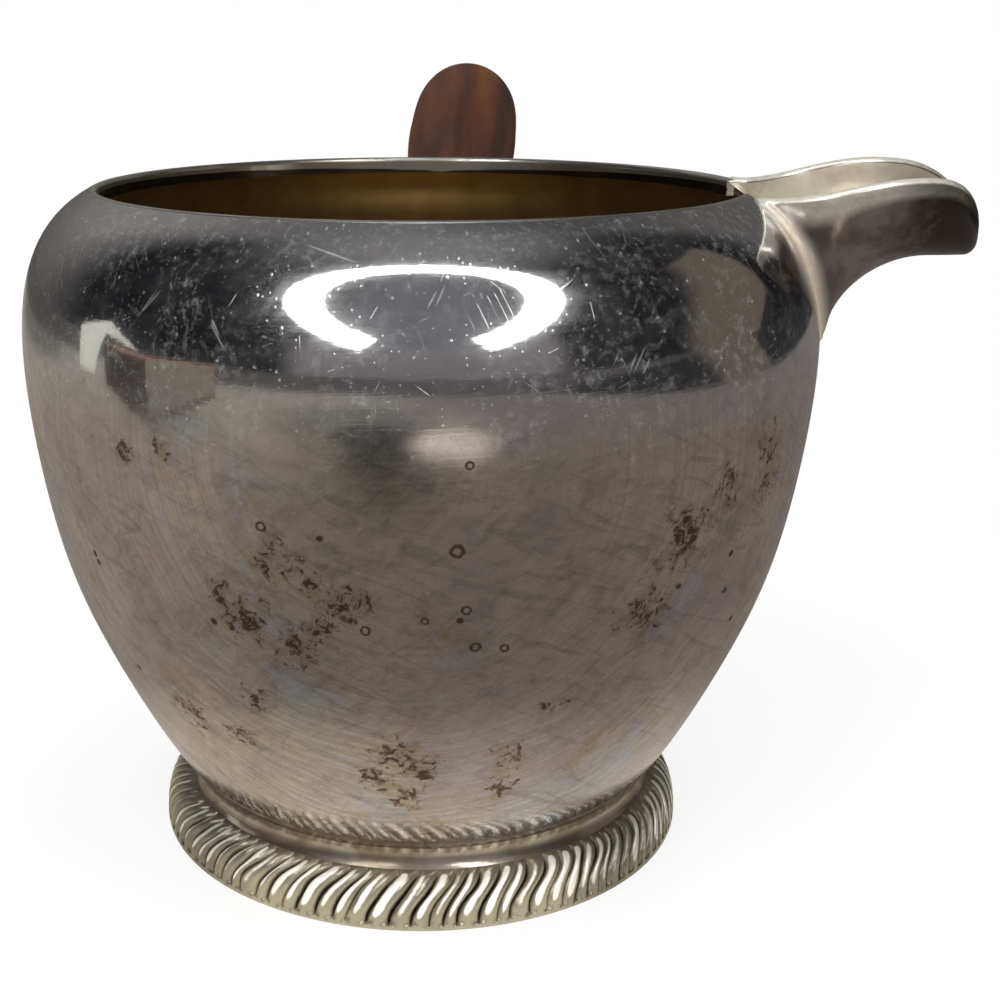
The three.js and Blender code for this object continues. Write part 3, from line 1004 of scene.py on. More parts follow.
@dataclass(frozen=True)
class BorderFinish:
    """Gadrooned border: ridges rubbed white and painted light, khaki flanks, near-black grooves.

    The mesh's groove mark goes from 0 on a crest to 1 in a groove, its ridge
    mark is 1 along the rubbed line of each rib, which is also a painted highlight, and its side
    mark goes from 0 at the side away from the handle to 2 below the handle. Away from the front
    the flanks are darker with painted shade, and the ridges' rubbing and painted highlights are
    fainter.
    """

    name: str = "border_silver"
    # Colour of the rubbed ridges, which are also painted highlights.
    ridge: Colour = (1.0, 0.975, 0.87)
    flank: Colour = (0.60, 0.56, 0.43)
    shaded: Colour = (0.20, 0.185, 0.14)
    groove: Colour = (0.10, 0.088, 0.058)
    clear_roughness: float = 0.20
    haze_roughness: float = 0.44
    haze: float = 0.5

    def make(self) -> Material:
        """Builds the material."""
        bench, made = Bench.material(self.name)
        place = bench.place()
        cloud = bench.noise(place, 3.2, 3.0, 0.6)
        grain = bench.noise(place, 0.55, 3.0, 0.7)
        uneven, fine = cloud - 0.5, grain - 0.5
        groove = (bench.mark("groove") + uneven * 0.5 + fine * 0.45).clamped()
        ridge = (bench.mark("ridge") + uneven * 0.5 + fine * 0.3).rise(0.30, 0.60)
        # Painted shade on the flanks away from the front; the ridges' painted highlights dim there.
        side = bench.mark("side").rise(0.07, 0.38)
        flank = bench.tint((side + uneven * 1.2).clamped() * 0.8, self.flank, self.shaded)
        colour = bench.tint(groove.rise(0.25, 0.75), flank, self.groove)
        colour = bench.tint(ridge * (1 - side * 0.35), colour, self.ridge)
        # Where the ridges carry painted highlights the metal is made less metallic, so they show
        # white.
        sockets = {
            "Base Color": colour,
            "Metallic": 0.9 - ridge * (1 - side * 0.6) * 0.5,
            "Normal": bench.bump(grain * 0.6 + cloud * 0.8, 0.7, 0.09),
        }
        clear = bench.surface(sockets | {"Roughness": groove * 0.2 + self.clear_roughness})
        hazy = bench.surface(sockets | {"Roughness": self.haze_roughness})
        bench.finish(bench.blended(self.haze, clear, hazy))
        return made


@dataclass(frozen=True)
class WoodFinish:
    """Dark turned wood with a soft grain along the handle and a waxed sheen.

    The sizes of its streaks and fibres are millimetres across, along and across the handle.
    """

    name: str = "turned_wood"
    dark: Colour = (0.042, 0.015, 0.008)
    mid: Colour = (0.076, 0.025, 0.010)
    light: Colour = (0.140, 0.050, 0.012)
    roughness: float = 0.48
    sheen: float = 0.3
    streak_sizes: Point = (5.0, 70.0, 5.0)
    fibre_sizes: Point = (0.35, 9.0, 0.35)

    def make(self, start: Point, tilt: float) -> Material:
        """Builds the material, from a point on the handle's axis (metres) and its tilt.

        Args:
            start: a point on the handle's axis, in metres.
            tilt: degrees by which it rises.

        Returns:
            The material.
        """
        bench, made = Bench.material(self.name)
        place = bench.place()
        broad = bench.about(place, start, (tilt, 0, 0), self.streak_sizes)
        fine = bench.about(place, start, (tilt, 0, 0), self.fibre_sizes)
        streak = bench.noise(broad, 0.0, 2.0, 0.5, 0.2)
        fibre = bench.noise(fine, 0.0, 3.0, 0.65)
        depth = (streak * 0.9 + fibre * 0.16 - 0.03).clamped()
        ramp = {"stops": [(0.34, self.dark), (0.50, self.mid), (0.68, self.light)]}
        sockets = {
            "Base Color": bench.node("ShaderNodeValToRGB", ramp, {"Fac": depth}, "Color"),
            "Roughness": (bench.noise(place, 4.0, 3.0) - 0.5) * 0.2 + self.roughness,
            "Normal": bench.bump(fibre, 0.35, 0.03),
            "Specular IOR Level": self.sheen,
        }
        bench.finish(bench.surface(sockets))
        return made


@dataclass(frozen=True)
class BrassFinish:
    """Dull brass of the cross pin."""

    name: str = "dull_brass"
    bright: Colour = (0.66, 0.52, 0.28)
    dull: Colour = (0.28, 0.20, 0.10)
    roughness: float = 0.25

    def make(self) -> Material:
        """Builds the material."""
        bench, made = Bench.material(self.name)
        cloud = bench.noise(bench.place(), 0.7, 3.0, 0.6)
        colour = bench.tint(cloud, self.bright, self.dull)
        rough = cloud * 0.3 + self.roughness
        bench.finish(bench.surface({"Base Color": colour, "Metallic": 1.0, "Roughness": rough}))
        return made


# Bowl and spout


@dataclass(frozen=True)
class BowlShape:
    """The bowl's outline: one smooth curve from the foot to the mouth, given by steering points.

    Each of them is a radius and a height. The wall is the sheet's thickness.
    """

    steering: tuple[Spot, ...] = (
        (25.2, 6.9), (31.4, 12.0), (36.5, 32.0), (42.26, 28.8),
        (34.5, 38.3), (50.25, 60.7), (34.0, 69.2),
    )
    wall: float = 1.1

    @property
    def seat(self) -> Spot:
        """Radius and height where the bowl meets its foot."""
        return self.steering[0]

    @property
    def mouth(self) -> Spot:
        """Radius and height of the mouth's edge."""
        return self.steering[-1]

    def outline(self, t: Array, outwards: float = 0.0) -> Array:
        """The outline, moved along its outward normal.

        Args:
            t: shares of the way from foot to mouth.
            outwards: how far the outline is moved, negative for the inside.

        Returns:
            Rows of radius and height.
        """
        steering = np.array(self.steering)
        step = 1e-3
        ahead = steered_curve(steering, np.minimum(t + step, 1))
        behind = steered_curve(steering, np.maximum(t - step, 0))
        along = ahead - behind
        along /= np.linalg.norm(along, axis=1, keepdims=True)
        normal = np.stack([along[:, 1], -along[:, 0]], axis=1)
        return steered_curve(steering, t) + outwards * normal

    def radius(self, height: Array) -> Array:
        """The outline's radius at a height; above the mouth it stays the mouth's."""
        curve = self.outline(np.linspace(0, 1, OUTLINE_STEPS))
        return np.interp(height, curve[:, 1], curve[:, 0])


@dataclass(frozen=True)
class SpoutShape:
    """The open spout as a trough of U-shaped sections, measured outwards from the bowl's axis.

    The powers say how full a curve is; 2 gives a round. The spout is turned askew about a point
    at turn_at and rolled about its own line, both in degrees. Its underside goes from keel_root
    through a hollow up to keel_level, and turns up at the nose over nose_round. A trough at the
    distance start is well inside the bowl.
    """

    bowl: BowlShape
    reach: float = 56.48
    root_half_width: float = 9.0
    half_width: float = 11.8
    opening_power: float = 1.5
    widest_at: float = 41.4
    plan_power: float = 2.0
    turn: float = -3.0
    turn_at: float = 14.6
    roll: float = 1.4
    section_power: float = 2.3
    lip_crest: float = 71.4
    lip_crest_at: float = 48.5
    lip_drop_power: float = 2.8
    nose_height: float = 64.1
    keel_root: float = 54.0
    keel_root_at: float = 41.3
    keel_level: float = 62.7
    keel_level_at: float = 51.3
    keel_steepness: float = 0.985
    nose_round: float = 1.4
    start: float = 28.0

    def width_at(self, out: Array, inset: float) -> Array:
        """Half the width: it opens quickly to its widest place and closes round the nose.

        Args:
            out: distances from the bowl's axis along the spout.
            inset: how far the trough is shrunk.

        Returns:
            Half the width at each distance.
        """
        reach = self.reach - inset
        left = np.clip((self.widest_at - out) / (self.widest_at - self.bowl.mouth[0]), 0, 1)
        opening = 1 - left**self.opening_power
        widest = blend(self.root_half_width, self.half_width, opening) - inset
        along = np.clip((out - self.widest_at) / (reach - self.widest_at), 0, 1)
        return widest * (1 - along**self.plan_power) ** (1 / self.plan_power)

    def lip_at(self, out: Array) -> Array:
        """Height of the lips: a gentle rise to the crest, then a round drop to the nose.

        Args:
            out: distances from the bowl's axis along the spout.

        Returns:
            A height for each distance.
        """
        climb = ease((out - self.bowl.mouth[0]) / (self.lip_crest_at - self.bowl.mouth[0]))
        past = np.clip((out - self.lip_crest_at) / (self.reach - self.lip_crest_at), 0, 1)
        drop = (self.lip_crest - self.nose_height) * (1 - np.sqrt(1 - past**self.lip_drop_power))
        return blend(self.bowl.mouth[1], self.lip_crest, climb) - drop

    def keel_at(self, out: Array, inset: float) -> Array:
        """Height of the underside: a quarter-round hollow, a level part, a turn up at the nose.

        Args:
            out: distances from the bowl's axis along the spout.
            inset: how far the trough is shrunk.

        Returns:
            A height for each distance.
        """
        left = (self.keel_level_at - out) / (self.keel_level_at - self.keel_root_at)
        along = np.clip(left, 0, 1)
        deepest = 1 - math.sqrt(1 - self.keel_steepness)
        hollow = (1 - np.sqrt(1 - self.keel_steepness * along**2)) / deepest
        reach = self.reach - inset
        turn = np.clip((out - reach + self.nose_round) / self.nose_round, 0, 1)
        rise = (self.nose_height - self.keel_level) * (1 - np.sqrt(1 - turn**2))
        return self.keel_level - (self.keel_level - self.keel_root) * hollow + rise

    def point(
        self,
        out: Array,
        angle: Array,
        inset: float,
        swell: Array | float = 0.0,
        drop: float = 0.0,
    ) -> Array:
        """Points of the trough.

        A section is half of a squarish oval: across by a power of the cosine of the angle,
        down by the same power of its sine.

        Args:
            out: distances from the bowl's axis along the spout.
            angle: 0 at the lip on the handle's side, a half turn at the other lip.
            inset: how far the trough is shrunk, for its inside.
            swell: how far it is enlarged sideways and down, for the solder at its root.
            drop: how far below the lips the section's upper ends lie.

        Returns:
            The points, with the spout's slight turn and roll applied.
        """
        power = 2 / self.section_power
        side = np.sign(np.cos(angle)) * np.abs(np.cos(angle)) ** power
        down = np.abs(np.sin(angle)) ** power
        lip = self.lip_at(out) - drop
        depth = np.maximum(lip - self.keel_at(out, inset) - inset, 0) + swell
        across = (self.width_at(out, inset) + swell) * side
        return self.turned_aside(out, across, lip - depth * down)

    def turned_aside(self, out: Array, across: Array, height: Array) -> Array:
        """Points given along, across and up, rolled a little about the spout and turned aside.

        Args:
            out: distances from the bowl's axis along the spout.
            across: distances across it.
            height: heights above the table.

        Returns:
            The points about the bowl's axis.
        """
        angle, roll = math.radians(self.turn), math.radians(self.roll)
        ahead, level = out - self.turn_at, height - self.bowl.mouth[1]
        tipped = across * math.cos(roll) - level * math.sin(roll)
        x = self.turn_at + ahead * math.cos(angle) - tipped * math.sin(angle)
        y = ahead * math.sin(angle) + tipped * math.cos(angle)
        z = self.bowl.mouth[1] + across * math.sin(roll) + level * math.cos(roll)
        return np.stack(np.broadcast_arrays(x, y, z), axis=-1)

    def floor_at(self, points: Array, inset: float) -> Array:
        """Height of the trough's floor under points about the axis, or infinity beside it.

        Args:
            points: points about the bowl's axis.
            inset: how far the trough is shrunk.

        Returns:
            A height for each point.
        """
        angle, roll = math.radians(self.turn), math.radians(self.roll)
        x, y = points[..., 0] - self.turn_at, points[..., 1]
        level = points[..., 2] - self.bowl.mouth[1]
        out = self.turn_at + x * math.cos(angle) + y * math.sin(angle)
        tipped = -x * math.sin(angle) + y * math.cos(angle)
        across = tipped * math.cos(roll) + level * math.sin(roll)
        share = np.clip(np.abs(across) / np.maximum(self.width_at(out, inset), 1e-6), 0, 1)
        lip = self.lip_at(out)
        depth = lip - self.keel_at(out, inset) - inset
        floor = lip - depth * (1 - share**self.section_power) ** (1 / self.section_power)
        raised = floor + across * math.sin(roll)
        return np.where((out > self.start) & (share < 1), raised, np.inf)

    def meets_bowl(
        self, angle: Array, inset: float, swell: float, behind: float, drop: float = 0.0
    ) -> Array:
        """How far out each line of the trough meets the bowl, found by halving.

        Args:
            angle: the lines' angles round the section.
            inset: how far the trough is shrunk.
            swell: how far it is enlarged.
            behind: how far inside the bowl's outer surface the meeting place is.
            drop: how far below the lips the section's upper ends lie.

        Returns:
            A distance for each line.
        """
        near = np.full(angle.shape, self.start)
        far = np.full(angle.shape, self.widest_at + 3)
        for _ in range(HALVINGS):
            middle = (near + far) / 2
            spot = self.point(middle, angle, inset, swell, drop)
            surface = self.bowl.radius(spot[..., 2]) - behind
            inside = np.hypot(spot[..., 0], spot[..., 1]) < surface
            near = np.where(inside, middle, near)
            far = np.where(inside, far, middle)
        return (near + far) / 2


@dataclass
class Bowl:
    """The bowl and the band that edges its mouth.

    The spout's notch leaves the wall's lower held_share alone, and its sides are at about
    flank_turns, in degrees from the spout. The bottom is dished up by dish_rise, and the band's
    rounded top rises above the mouth by band_crown.
    """

    assembly: Assembly
    shape: BowlShape
    spout: SpoutShape
    columns: int = 224
    outer_rows: int = 92
    inner_rows: int = 60
    held_share: float = 0.55
    flank_turns: Spot = (-15.5, 12.2)
    flank_reach: float = 4.0
    notch_ease: float = 0.12
    edge_arch: float = 0.12
    dish_rise: float = 0.8
    dish_edge: float = 0.2
    dish_radius: float = 21.0
    seat_inner: float = 23.4
    band_thick: float = 0.8
    band_height: float = 1.7
    band_crown: float = 0.15
    band_round: float = 0.25
    inner_darkening_height: float = 0.95

    def turns(self) -> Array:
        """Angles of the columns, closer together beside the spout's notch."""
        reach = self.flank_reach
        sides = [np.radians(np.linspace(t - reach, t + reach, 33)) for t in self.flank_turns]
        every = np.concatenate([full_turn(self.columns), *[side % (2 * np.pi) for side in sides]])
        return np.unique(np.round(every, 4))

    def in_notch(self, points: Array) -> Array:
        """How far points rise above the floor of the spout's open space, which cuts the wall."""
        floor = self.spout.floor_at(points, self.shape.wall - self.notch_ease)
        return points[..., 2] - floor

    def top_share(self, turns: Array, outwards: float) -> Array:
        """The share of its outline at which each column of the wall is cut off by the notch.

        The wall is followed upwards in small steps, up to the last one below the notch's floor.

        Args:
            turns: the columns' angles.
            outwards: where the skin lies, negative inside.

        Returns:
            A share for each column.
        """
        t = np.linspace(0.6, 1.0, 500)
        cut = self.in_notch(turned(self.shape.outline(t, outwards), turns)) > 0
        first = np.argmax(cut, axis=0)
        return np.where(cut.any(axis=0), t[np.maximum(first - 1, 0)], 1.0)

    def wall_grid(self, turns: Array, outwards: float, rows: int) -> Array:
        """One skin of the wall from foot to edge, its upper half squeezed under the notch.

        Args:
            turns: the columns' angles.
            outwards: where the skin lies, negative inside.
            rows: how many rows it has.

        Returns:
            The grid.
        """
        t = np.linspace(0, 1, rows)[:, None]
        top = self.top_share(turns, outwards)[None, :]
        held = self.held_share
        share = np.where(t < held, t, held + (t - held) / (1 - held) * (top - held))
        profile = self.shape.outline(share.ravel(), outwards).reshape(*share.shape, 2)
        return about_axis(profile[..., 0], turns, profile[..., 1])

    def under_profile(self) -> Array:
        """The underside from its middle to the seat: a shallow dish and a flat ring."""
        seat = self.shape.seat[1]
        top = seat + self.dish_rise
        rows = [(0.0, top), (self.dish_radius / 2, top - self.dish_edge / 4)]
        rows += [(self.dish_radius, top - self.dish_edge), (self.seat_inner - 0.3, seat)]
        return np.array([*rows, self.shape.seat])

    def bottom_profile(self, low: Array) -> Array:
        """The inside's bottom from a wall point to its middle: a quarter round, then the dish.

        Args:
            low: the wall's lowest inner point.

        Returns:
            Rows of radius and height.
        """
        top = self.shape.seat[1] + self.shape.wall + self.dish_rise
        bend = np.linspace(0, 1, 9) * np.pi / 2
        corner = profile_rows(
            blend(np.hypot(low[0], low[1]), self.dish_radius, np.sin(bend)),
            blend(low[2], top - self.dish_edge, 1 - np.cos(bend)),
        )
        return np.concatenate([corner, [(self.dish_radius / 2, top), (0.0, top)]])

    def build(self, silver: Material, inside: Material) -> None:
        """Makes the bowl: outer skin, rounded cut edge, inner skin, and the dished bottom.

        Args:
            silver: the outside's material.
            inside: the inside's.
        """
        turns = self.turns()
        outer = self.wall_grid(turns, 0.0, self.outer_rows)
        inner = self.wall_grid(turns, -self.shape.wall, self.inner_rows)
        across = np.linspace(0, 1, 5)[:, None, None]
        edge = outer[-1] + (inner[-1] - outer[-1]) * across
        in_notch = edge[..., 2] < self.shape.mouth[1] - 1.5
        edge[..., 2] += self.edge_arch * np.sin(np.pi * across[..., 0]) * in_notch
        patches = [
            Patch(turned(self.under_profile(), turns), finish=1),
            Patch(outer),
            Patch(edge),
            Patch(inner, finish=1),
            Patch(turned(self.bottom_profile(inner[0, 0]), turns), finish=1),
        ]
        self.assembly.piece("bowl_shell", patches, [silver, inside], "bowl", Slot.SILVER)

    def build_band(self, silver: Material) -> None:
        """Makes the band: an upright strip with a rounded top, open where the spout begins.

        Args:
            silver: its material.
        """
        radius, height = self.shape.mouth
        inner, bottom = radius - self.band_thick, height - self.band_height
        middle_radius = (radius + inner) / 2
        crown = np.linspace(0, np.pi, 9)
        top = profile_rows(
            middle_radius + self.band_thick / 2 * np.cos(crown),
            height - self.band_round + (self.band_crown + self.band_round) * np.sin(crown),
        )
        inner_side = profile_rows(inner, np.linspace(height - 0.4, bottom, 8))
        profile = np.concatenate([top, inner_side, [(radius, bottom)]])
        first, last = (self.notch_end(turn, middle_radius) for turn in self.flank_turns)
        turns = np.linspace(last, first + 2 * np.pi, 300)
        ring = turned(profile, turns)
        marks = {"smoke": 2 * self.band_inner_darkening(profile, turns)}
        caps = [self.band_cap(profile, ring[:, end], turns[[end]]) for end in (0, -1)]
        patches = [Patch(ring, ring=False, loop=True, marks=marks), *caps]
        self.assembly.piece("mouth_band", patches, [silver], "rim_band", Slot.SILVER)

    def band_inner_darkening(self, profile: Array, turns: Array) -> Array:
        """The band's inner side darkened below a line, lower at the sides than ahead and behind.

        Args:
            profile: rows of radius and height.
            turns: the columns' angles.

        Returns:
            Its strength at each point.
        """
        radius, height = self.shape.mouth
        line = height - self.band_height + self.inner_darkening_height * np.abs(np.cos(turns)) ** 0.6
        on_inside = np.abs(profile[:, :1] - (radius - self.band_thick)) < 0.01
        within = on_inside & (profile[:, 1:] < height - 0.3)
        return within * np.clip((line - profile[:, 1:]) / 0.2 + 0.5, 0, 1)

    @staticmethod
    def band_cap(profile: Array, end: Array, turn: Array) -> Patch:
        """The flat end of the band: a fan from its outline to its middle."""
        middle = turned(profile.mean(axis=0, keepdims=True), turn)[:, 0]
        return Patch(np.stack([end, np.repeat(middle, len(profile), 0)]))

    def notch_end(self, guess: float, radius: float) -> float:
        """The angle at which the mouth's edge passes the side of the spout's open space.

        Args:
            guess: the angle in degrees near which it lies.
            radius: the edge's radius.

        Returns:
            The angle in radians.
        """
        turns = np.radians(np.linspace(guess - 6, guess + 6, 600))
        spots = turned(np.array([(radius, self.shape.mouth[1] - 0.8)]), turns)[0]
        inside = self.in_notch(spots) > 0
        flip = int(np.argmax(inside != inside[0]))
        return float(turns[flip])


@dataclass
class Spout:
    """The spout with its rounded lips and the solder at its root.

    The solder's fillet reaches as far as solder, and the outer skin's root lies in the bowl by
    hidden. Smoke darkens the outside beyond smoke_from, and wear brightens the lips up to
    worn_until.
    """

    assembly: Assembly
    shape: SpoutShape
    stations: int = 72
    section_steps: int = 56
    solder: float = 1.3
    lip_round: float = 0.55
    hidden: float = 0.15
    smoke_from: float = 41.0
    smoke_share: float = 1.5
    worn_until: float = 47.5
    worn_rest: float = 0.35
    nose_dull: float = 0.75

    def skin(self, inset: float, swell: float, behind: float) -> Array:
        """One skin of the trough from the bowl to the nose.

        Args:
            inset: how far it lies inside the outer skin.
            swell: how far it is enlarged where it meets the bowl.
            behind: how far inside the bowl's surface it begins.

        Returns:
            A grid, stations by section steps by 3.
        """
        angle = np.linspace(0, np.pi, self.section_steps)[None, :]
        angle = angle + 0.12 * np.sin(2 * angle)
        plain = self.shape.meets_bowl(angle, inset, 0.0, 0.0, self.lip_round)
        start = self.shape.meets_bowl(angle, inset, swell, behind, self.lip_round)
        share = np.sin(np.pi / 2 * np.linspace(0, 1, self.stations))[:, None] ** 1.15
        out = start + (self.shape.reach - inset - start) * share
        near = np.clip((plain + self.solder - out) / (self.solder * 1.2), 0, 1)
        fillet = swell * (1 - np.sqrt(1 - near**2))
        return self.shape.point(out, angle, inset, fillet, self.lip_round)

    def lip_edge(self, first: Array, last: Array) -> Array:
        """The rounded edge from one skin's end to the other's: a line between them, arched up.

        Args:
            first: one skin's end.
            last: the other's.

        Returns:
            The points between them.
        """
        steps = np.linspace(0, np.pi, 9)[None, 1:-1, None]
        across = first[:, None] + (last - first)[:, None] * (1 - np.cos(steps)) / 2
        across[..., 2] += self.lip_round * np.sin(steps[..., 0])
        return across

    def past(self, out: Array, start: float) -> Array:
        """A smooth rise from 0 at a distance out to 1 at the nose."""
        return ease((out - start) / (self.shape.reach - start))

    def build(self, silver: Material, inside: Material) -> None:
        """Makes the spout as one closed skin: outside, lips, inside, and a closed root.

        Args:
            silver: the outside's material.
            inside: the inside's.
        """
        wall = self.shape.bowl.wall
        outer = self.skin(0.0, self.solder, self.hidden)
        inner = self.skin(wall, 0.0, wall + 0.1)[:, ::-1]
        near_lip = self.lip_edge(outer[:, -1], inner[:, 0])
        far_lip = self.lip_edge(inner[:, -1], outer[:, 0])
        outer_end = outer.shape[1]
        inner_start = outer_end + near_lip.shape[1]
        inner_end = inner_start + inner.shape[1]
        middle = (outer[0] + inner[0][::-1]) / 2
        near_root = np.repeat(middle[-1:], near_lip.shape[1], 0)
        far_root = np.repeat(middle[:1], far_lip.shape[1], 0)
        root = np.concatenate([middle, near_root, middle[::-1], far_root])
        loop = np.concatenate([outer, near_lip, inner, far_lip], axis=1)
        grid = np.concatenate([root[None], loop])
        out = grid[..., 0]
        outside = np.zeros(grid.shape[:2])
        outside[:, :outer_end] = 1.0
        from_root = np.linalg.norm(grid - grid[1:2], axis=-1)
        worn = np.zeros(grid.shape[:2])
        worn[:, outer_end:inner_start] = 1.0
        worn[:, inner_end:] = 1.0
        worn[:, [0, 1, outer_end - 2, outer_end - 1]] = self.worn_rest
        marks = {
            "joint": np.clip(1.35 - from_root / (self.solder * 1.1), 0, 1) * outside,
            "smoke": self.smoke_share * outside * self.past(out, self.smoke_from),
            "worn": worn * (1 - self.nose_dull * self.past(out, self.worn_until)),
        }

        def near(values: Array) -> Array:
            """The part of a grid that covers the outside and the near lip."""
            return values[:, : inner_start + 1]

        def far(values: Array) -> Array:
            """The part that covers the far lip, up to the outside's first line."""
            return np.concatenate([values[:, inner_end - 1 :], values[:, :1]], axis=1)

        patches = [
            Patch(part(grid), ring=False, marks={name: part(mark) for name, mark in marks.items()})
            for part in (near, far)
        ]
        patches.insert(1, Patch(grid[:, inner_start:inner_end], ring=False, finish=1))
        self.assembly.piece("pouring_spout", patches, [silver, inside], "spout", Slot.SILVER)


# Foot


@dataclass
class RibColumns:
    """The border's columns of points, one value of each kind for every column.

    The fall goes from a crest (0) towards a groove (1), groove is the nearest groove's depth,
    ridge how strongly the column carries the rubbed ridge and its painted
    highlight, lean its extra share of the twist, sway how many radians it wavers sideways, and
    phase where that starts.
    """

    angle: Array
    fall: Array
    groove: Array
    ridge: Array
    lean: Array
    sway: Array
    phase: Array


# Shares of a rib's width at which its columns of points lie, and how strongly each carries
# the rubbed ridge, which is also a painted highlight set off to one side of the rib.
RIB_ACROSS = (0.0, 0.07, 0.17, 0.29, 0.40, 0.52, 0.68, 0.82, 0.93)
RIB_WEAR_AND_HIGHLIGHT = (0.0, 0.0, 0.30, 0.85, 1.0, 0.62, 0.18, 0.0, 0.0)


@dataclass
class Foot:
    """The hollow neck ring and the gadrooned border under the bowl.

    The border goes from foot_radius on the table to top_radius at the height top, and its ribs
    lean by twist degrees. The random draws start from seed.
    """

    assembly: Assembly
    bowl: BowlShape
    foot_radius: float = 28.6
    plain_edge: float = 0.5
    top_radius: float = 25.6
    top: float = 4.75
    profile_power: float = 2.3
    ribs: int = 104
    rib_depth: float = 0.95
    twist: float = 6.0
    rows: int = 17
    border_inner: float = 25.0
    inner_lip: float = 2.4
    neck_inner: float = 23.4
    neck_bottom: float = 1.0
    neck_hollow: float = 0.35
    neck_gap: float = 0.02
    seed: int = 7

    def build_neck(self, silver: Material) -> None:
        """Makes the neck ring: between gadroons and bowl its face is a shallow sine hollow.

        Args:
            silver: its material.
        """
        seat = self.top - 0.25
        top = self.bowl.seat[1] - self.neck_gap
        share = np.linspace(0, 1, 13)
        hollow = self.neck_hollow * np.sin(np.pi * share)
        radius = blend(self.top_radius + 0.05, self.bowl.seat[0], share) - hollow
        face = profile_rows(radius, blend(seat, top, share))
        foot = self.border_inner - 0.1
        base = [(self.neck_inner, self.neck_bottom), (foot, self.neck_bottom), (foot, seat)]
        profile = np.concatenate([base, face, [(self.neck_inner, top)]])
        ring = Patch(turned(profile, full_turn(256)), loop=True)
        self.assembly.piece("neck_ring", [ring], [silver], "foot_ring", Slot.SILVER)

    def rib_columns(self) -> RibColumns:
        """The columns of points that make the ribs.

        The ribs' widths vary by a third, and about every third groove is cut deeper. Across a
        rib, the height follows a flattened half circle. The ridges, rubbed and painted as
        highlights, are strongest at the side away from the handle, by a cosine: painted light at
        the front. What differs from rib to rib is drawn for the ribs' borders and runs evenly
        from one to the next.
        """
        rng = np.random.default_rng(self.seed)
        widths = 1 + rng.uniform(-0.33, 0.33, self.ribs)
        starts = np.concatenate([[0], np.cumsum(widths)]) / widths.sum() * 2 * np.pi
        deep = rng.uniform(0.45, 0.72, self.ribs)
        deep[np.cumsum(rng.integers(2, 5, self.ribs)) % self.ribs] = 1.0
        # Painted light: the ridges' highlights are made stronger at the front, away from the handle.
        front = 0.85 + 0.4 * np.cos(starts[:-1] + np.pi / 2)
        strength = rng.uniform(0.4, 1.15, self.ribs) * front
        across = np.array(RIB_ACROSS)

        def runs(low: float, high: float) -> Array:
            """Values drawn for the borders, running evenly across each rib.

            Args:
                low: the least value.
                high: the greatest.

            Returns:
                The values.
            """
            drawn = rng.uniform(low, high, self.ribs)
            ahead = np.roll(drawn, -1)
            return (drawn[:, None] + (ahead - drawn)[:, None] * across).ravel()

        return RibColumns(
            angle=(starts[:-1, None] + np.diff(starts)[:, None] * across).ravel(),
            fall=np.tile(1 - np.sqrt(1 - np.abs(2 * across - 1) ** 2.2), self.ribs),
            groove=np.where(across < 0.5, deep[:, None], np.roll(deep, -1)[:, None]).ravel(),
            ridge=(strength[:, None] * np.array(RIB_WEAR_AND_HIGHLIGHT)).ravel(),
            lean=runs(-0.25, 0.25),
            sway=runs(-0.013, 0.013),
            phase=runs(0.0, 2.5),
        )

    def build_border(self, silver: Material) -> None:
        """Makes the border: a squarish quarter round whose ribs lean in an S as they climb.

        Out and up follow powers of the cosine and sine of the climb, so its shoulder is full.
        The grooves fade out at the top, and to about two thirds of their depth at the foot.

        Args:
            silver: its material.
        """
        ribs = self.rib_columns()
        climb = np.linspace(0, 1, self.rows)[:, None]
        bend = np.pi / 2 * climb
        hump = np.sin(np.pi * climb) ** 0.5
        fade = np.where(climb < 0.5, 0.72 + 0.28 * hump, hump)
        sunk = self.rib_depth * ribs.fall * ribs.groove * fade
        outwards = np.clip(np.cos(bend), 0, 1) ** (2 / self.profile_power)
        upwards = np.sin(bend) ** (2 / self.profile_power)
        radius = blend(self.top_radius, self.foot_radius, outwards) - sunk * np.cos(bend) ** 0.5
        height = self.plain_edge + (self.top - self.plain_edge - sunk) * upwards
        twist = math.radians(self.twist)
        lean = twist * ((0.75 + ribs.lean) * ease(climb) + (0.25 - ribs.lean) * climb)
        sway = ribs.sway * np.sin(2 * np.pi * climb + ribs.phase) * np.sin(np.pi * climb)
        face = about_axis(radius, ribs.angle + lean + sway, height)
        foot = [(self.border_inner, 0.0), (self.foot_radius, 0.0)]
        foot += [(self.foot_radius, self.plain_edge - 0.06)]
        inner = [(self.border_inner, self.top), (self.border_inner, self.inner_lip)]
        grid = np.concatenate(
            [turned(np.array(foot), ribs.angle), face, turned(np.array(inner), ribs.angle + twist)]
        )
        padding = ((len(foot), len(inner)), (0, 0))
        dirt = ribs.fall * (0.2 + 0.8 * ribs.groove) * fade
        ridge = ribs.ridge * ease(climb / 0.22) * ease((1 - climb) / 0.2)
        marks = {
            "groove": np.pad(dirt, padding),
            "ridge": np.pad(ridge, padding),
            # side: 0 at the front to 2 behind, from which the finish paints shade on the flanks.
            "side": 1 + grid[..., 1] / np.hypot(grid[..., 0], grid[..., 1]),
        }
        border = [Patch(grid, loop=True, marks=marks)]
        slot, crease = Slot.AGED_SILVER, 60.0
        self.assembly.piece("gadrooned_foot", border, [silver], "gadroon_border", slot, crease)


# Handle


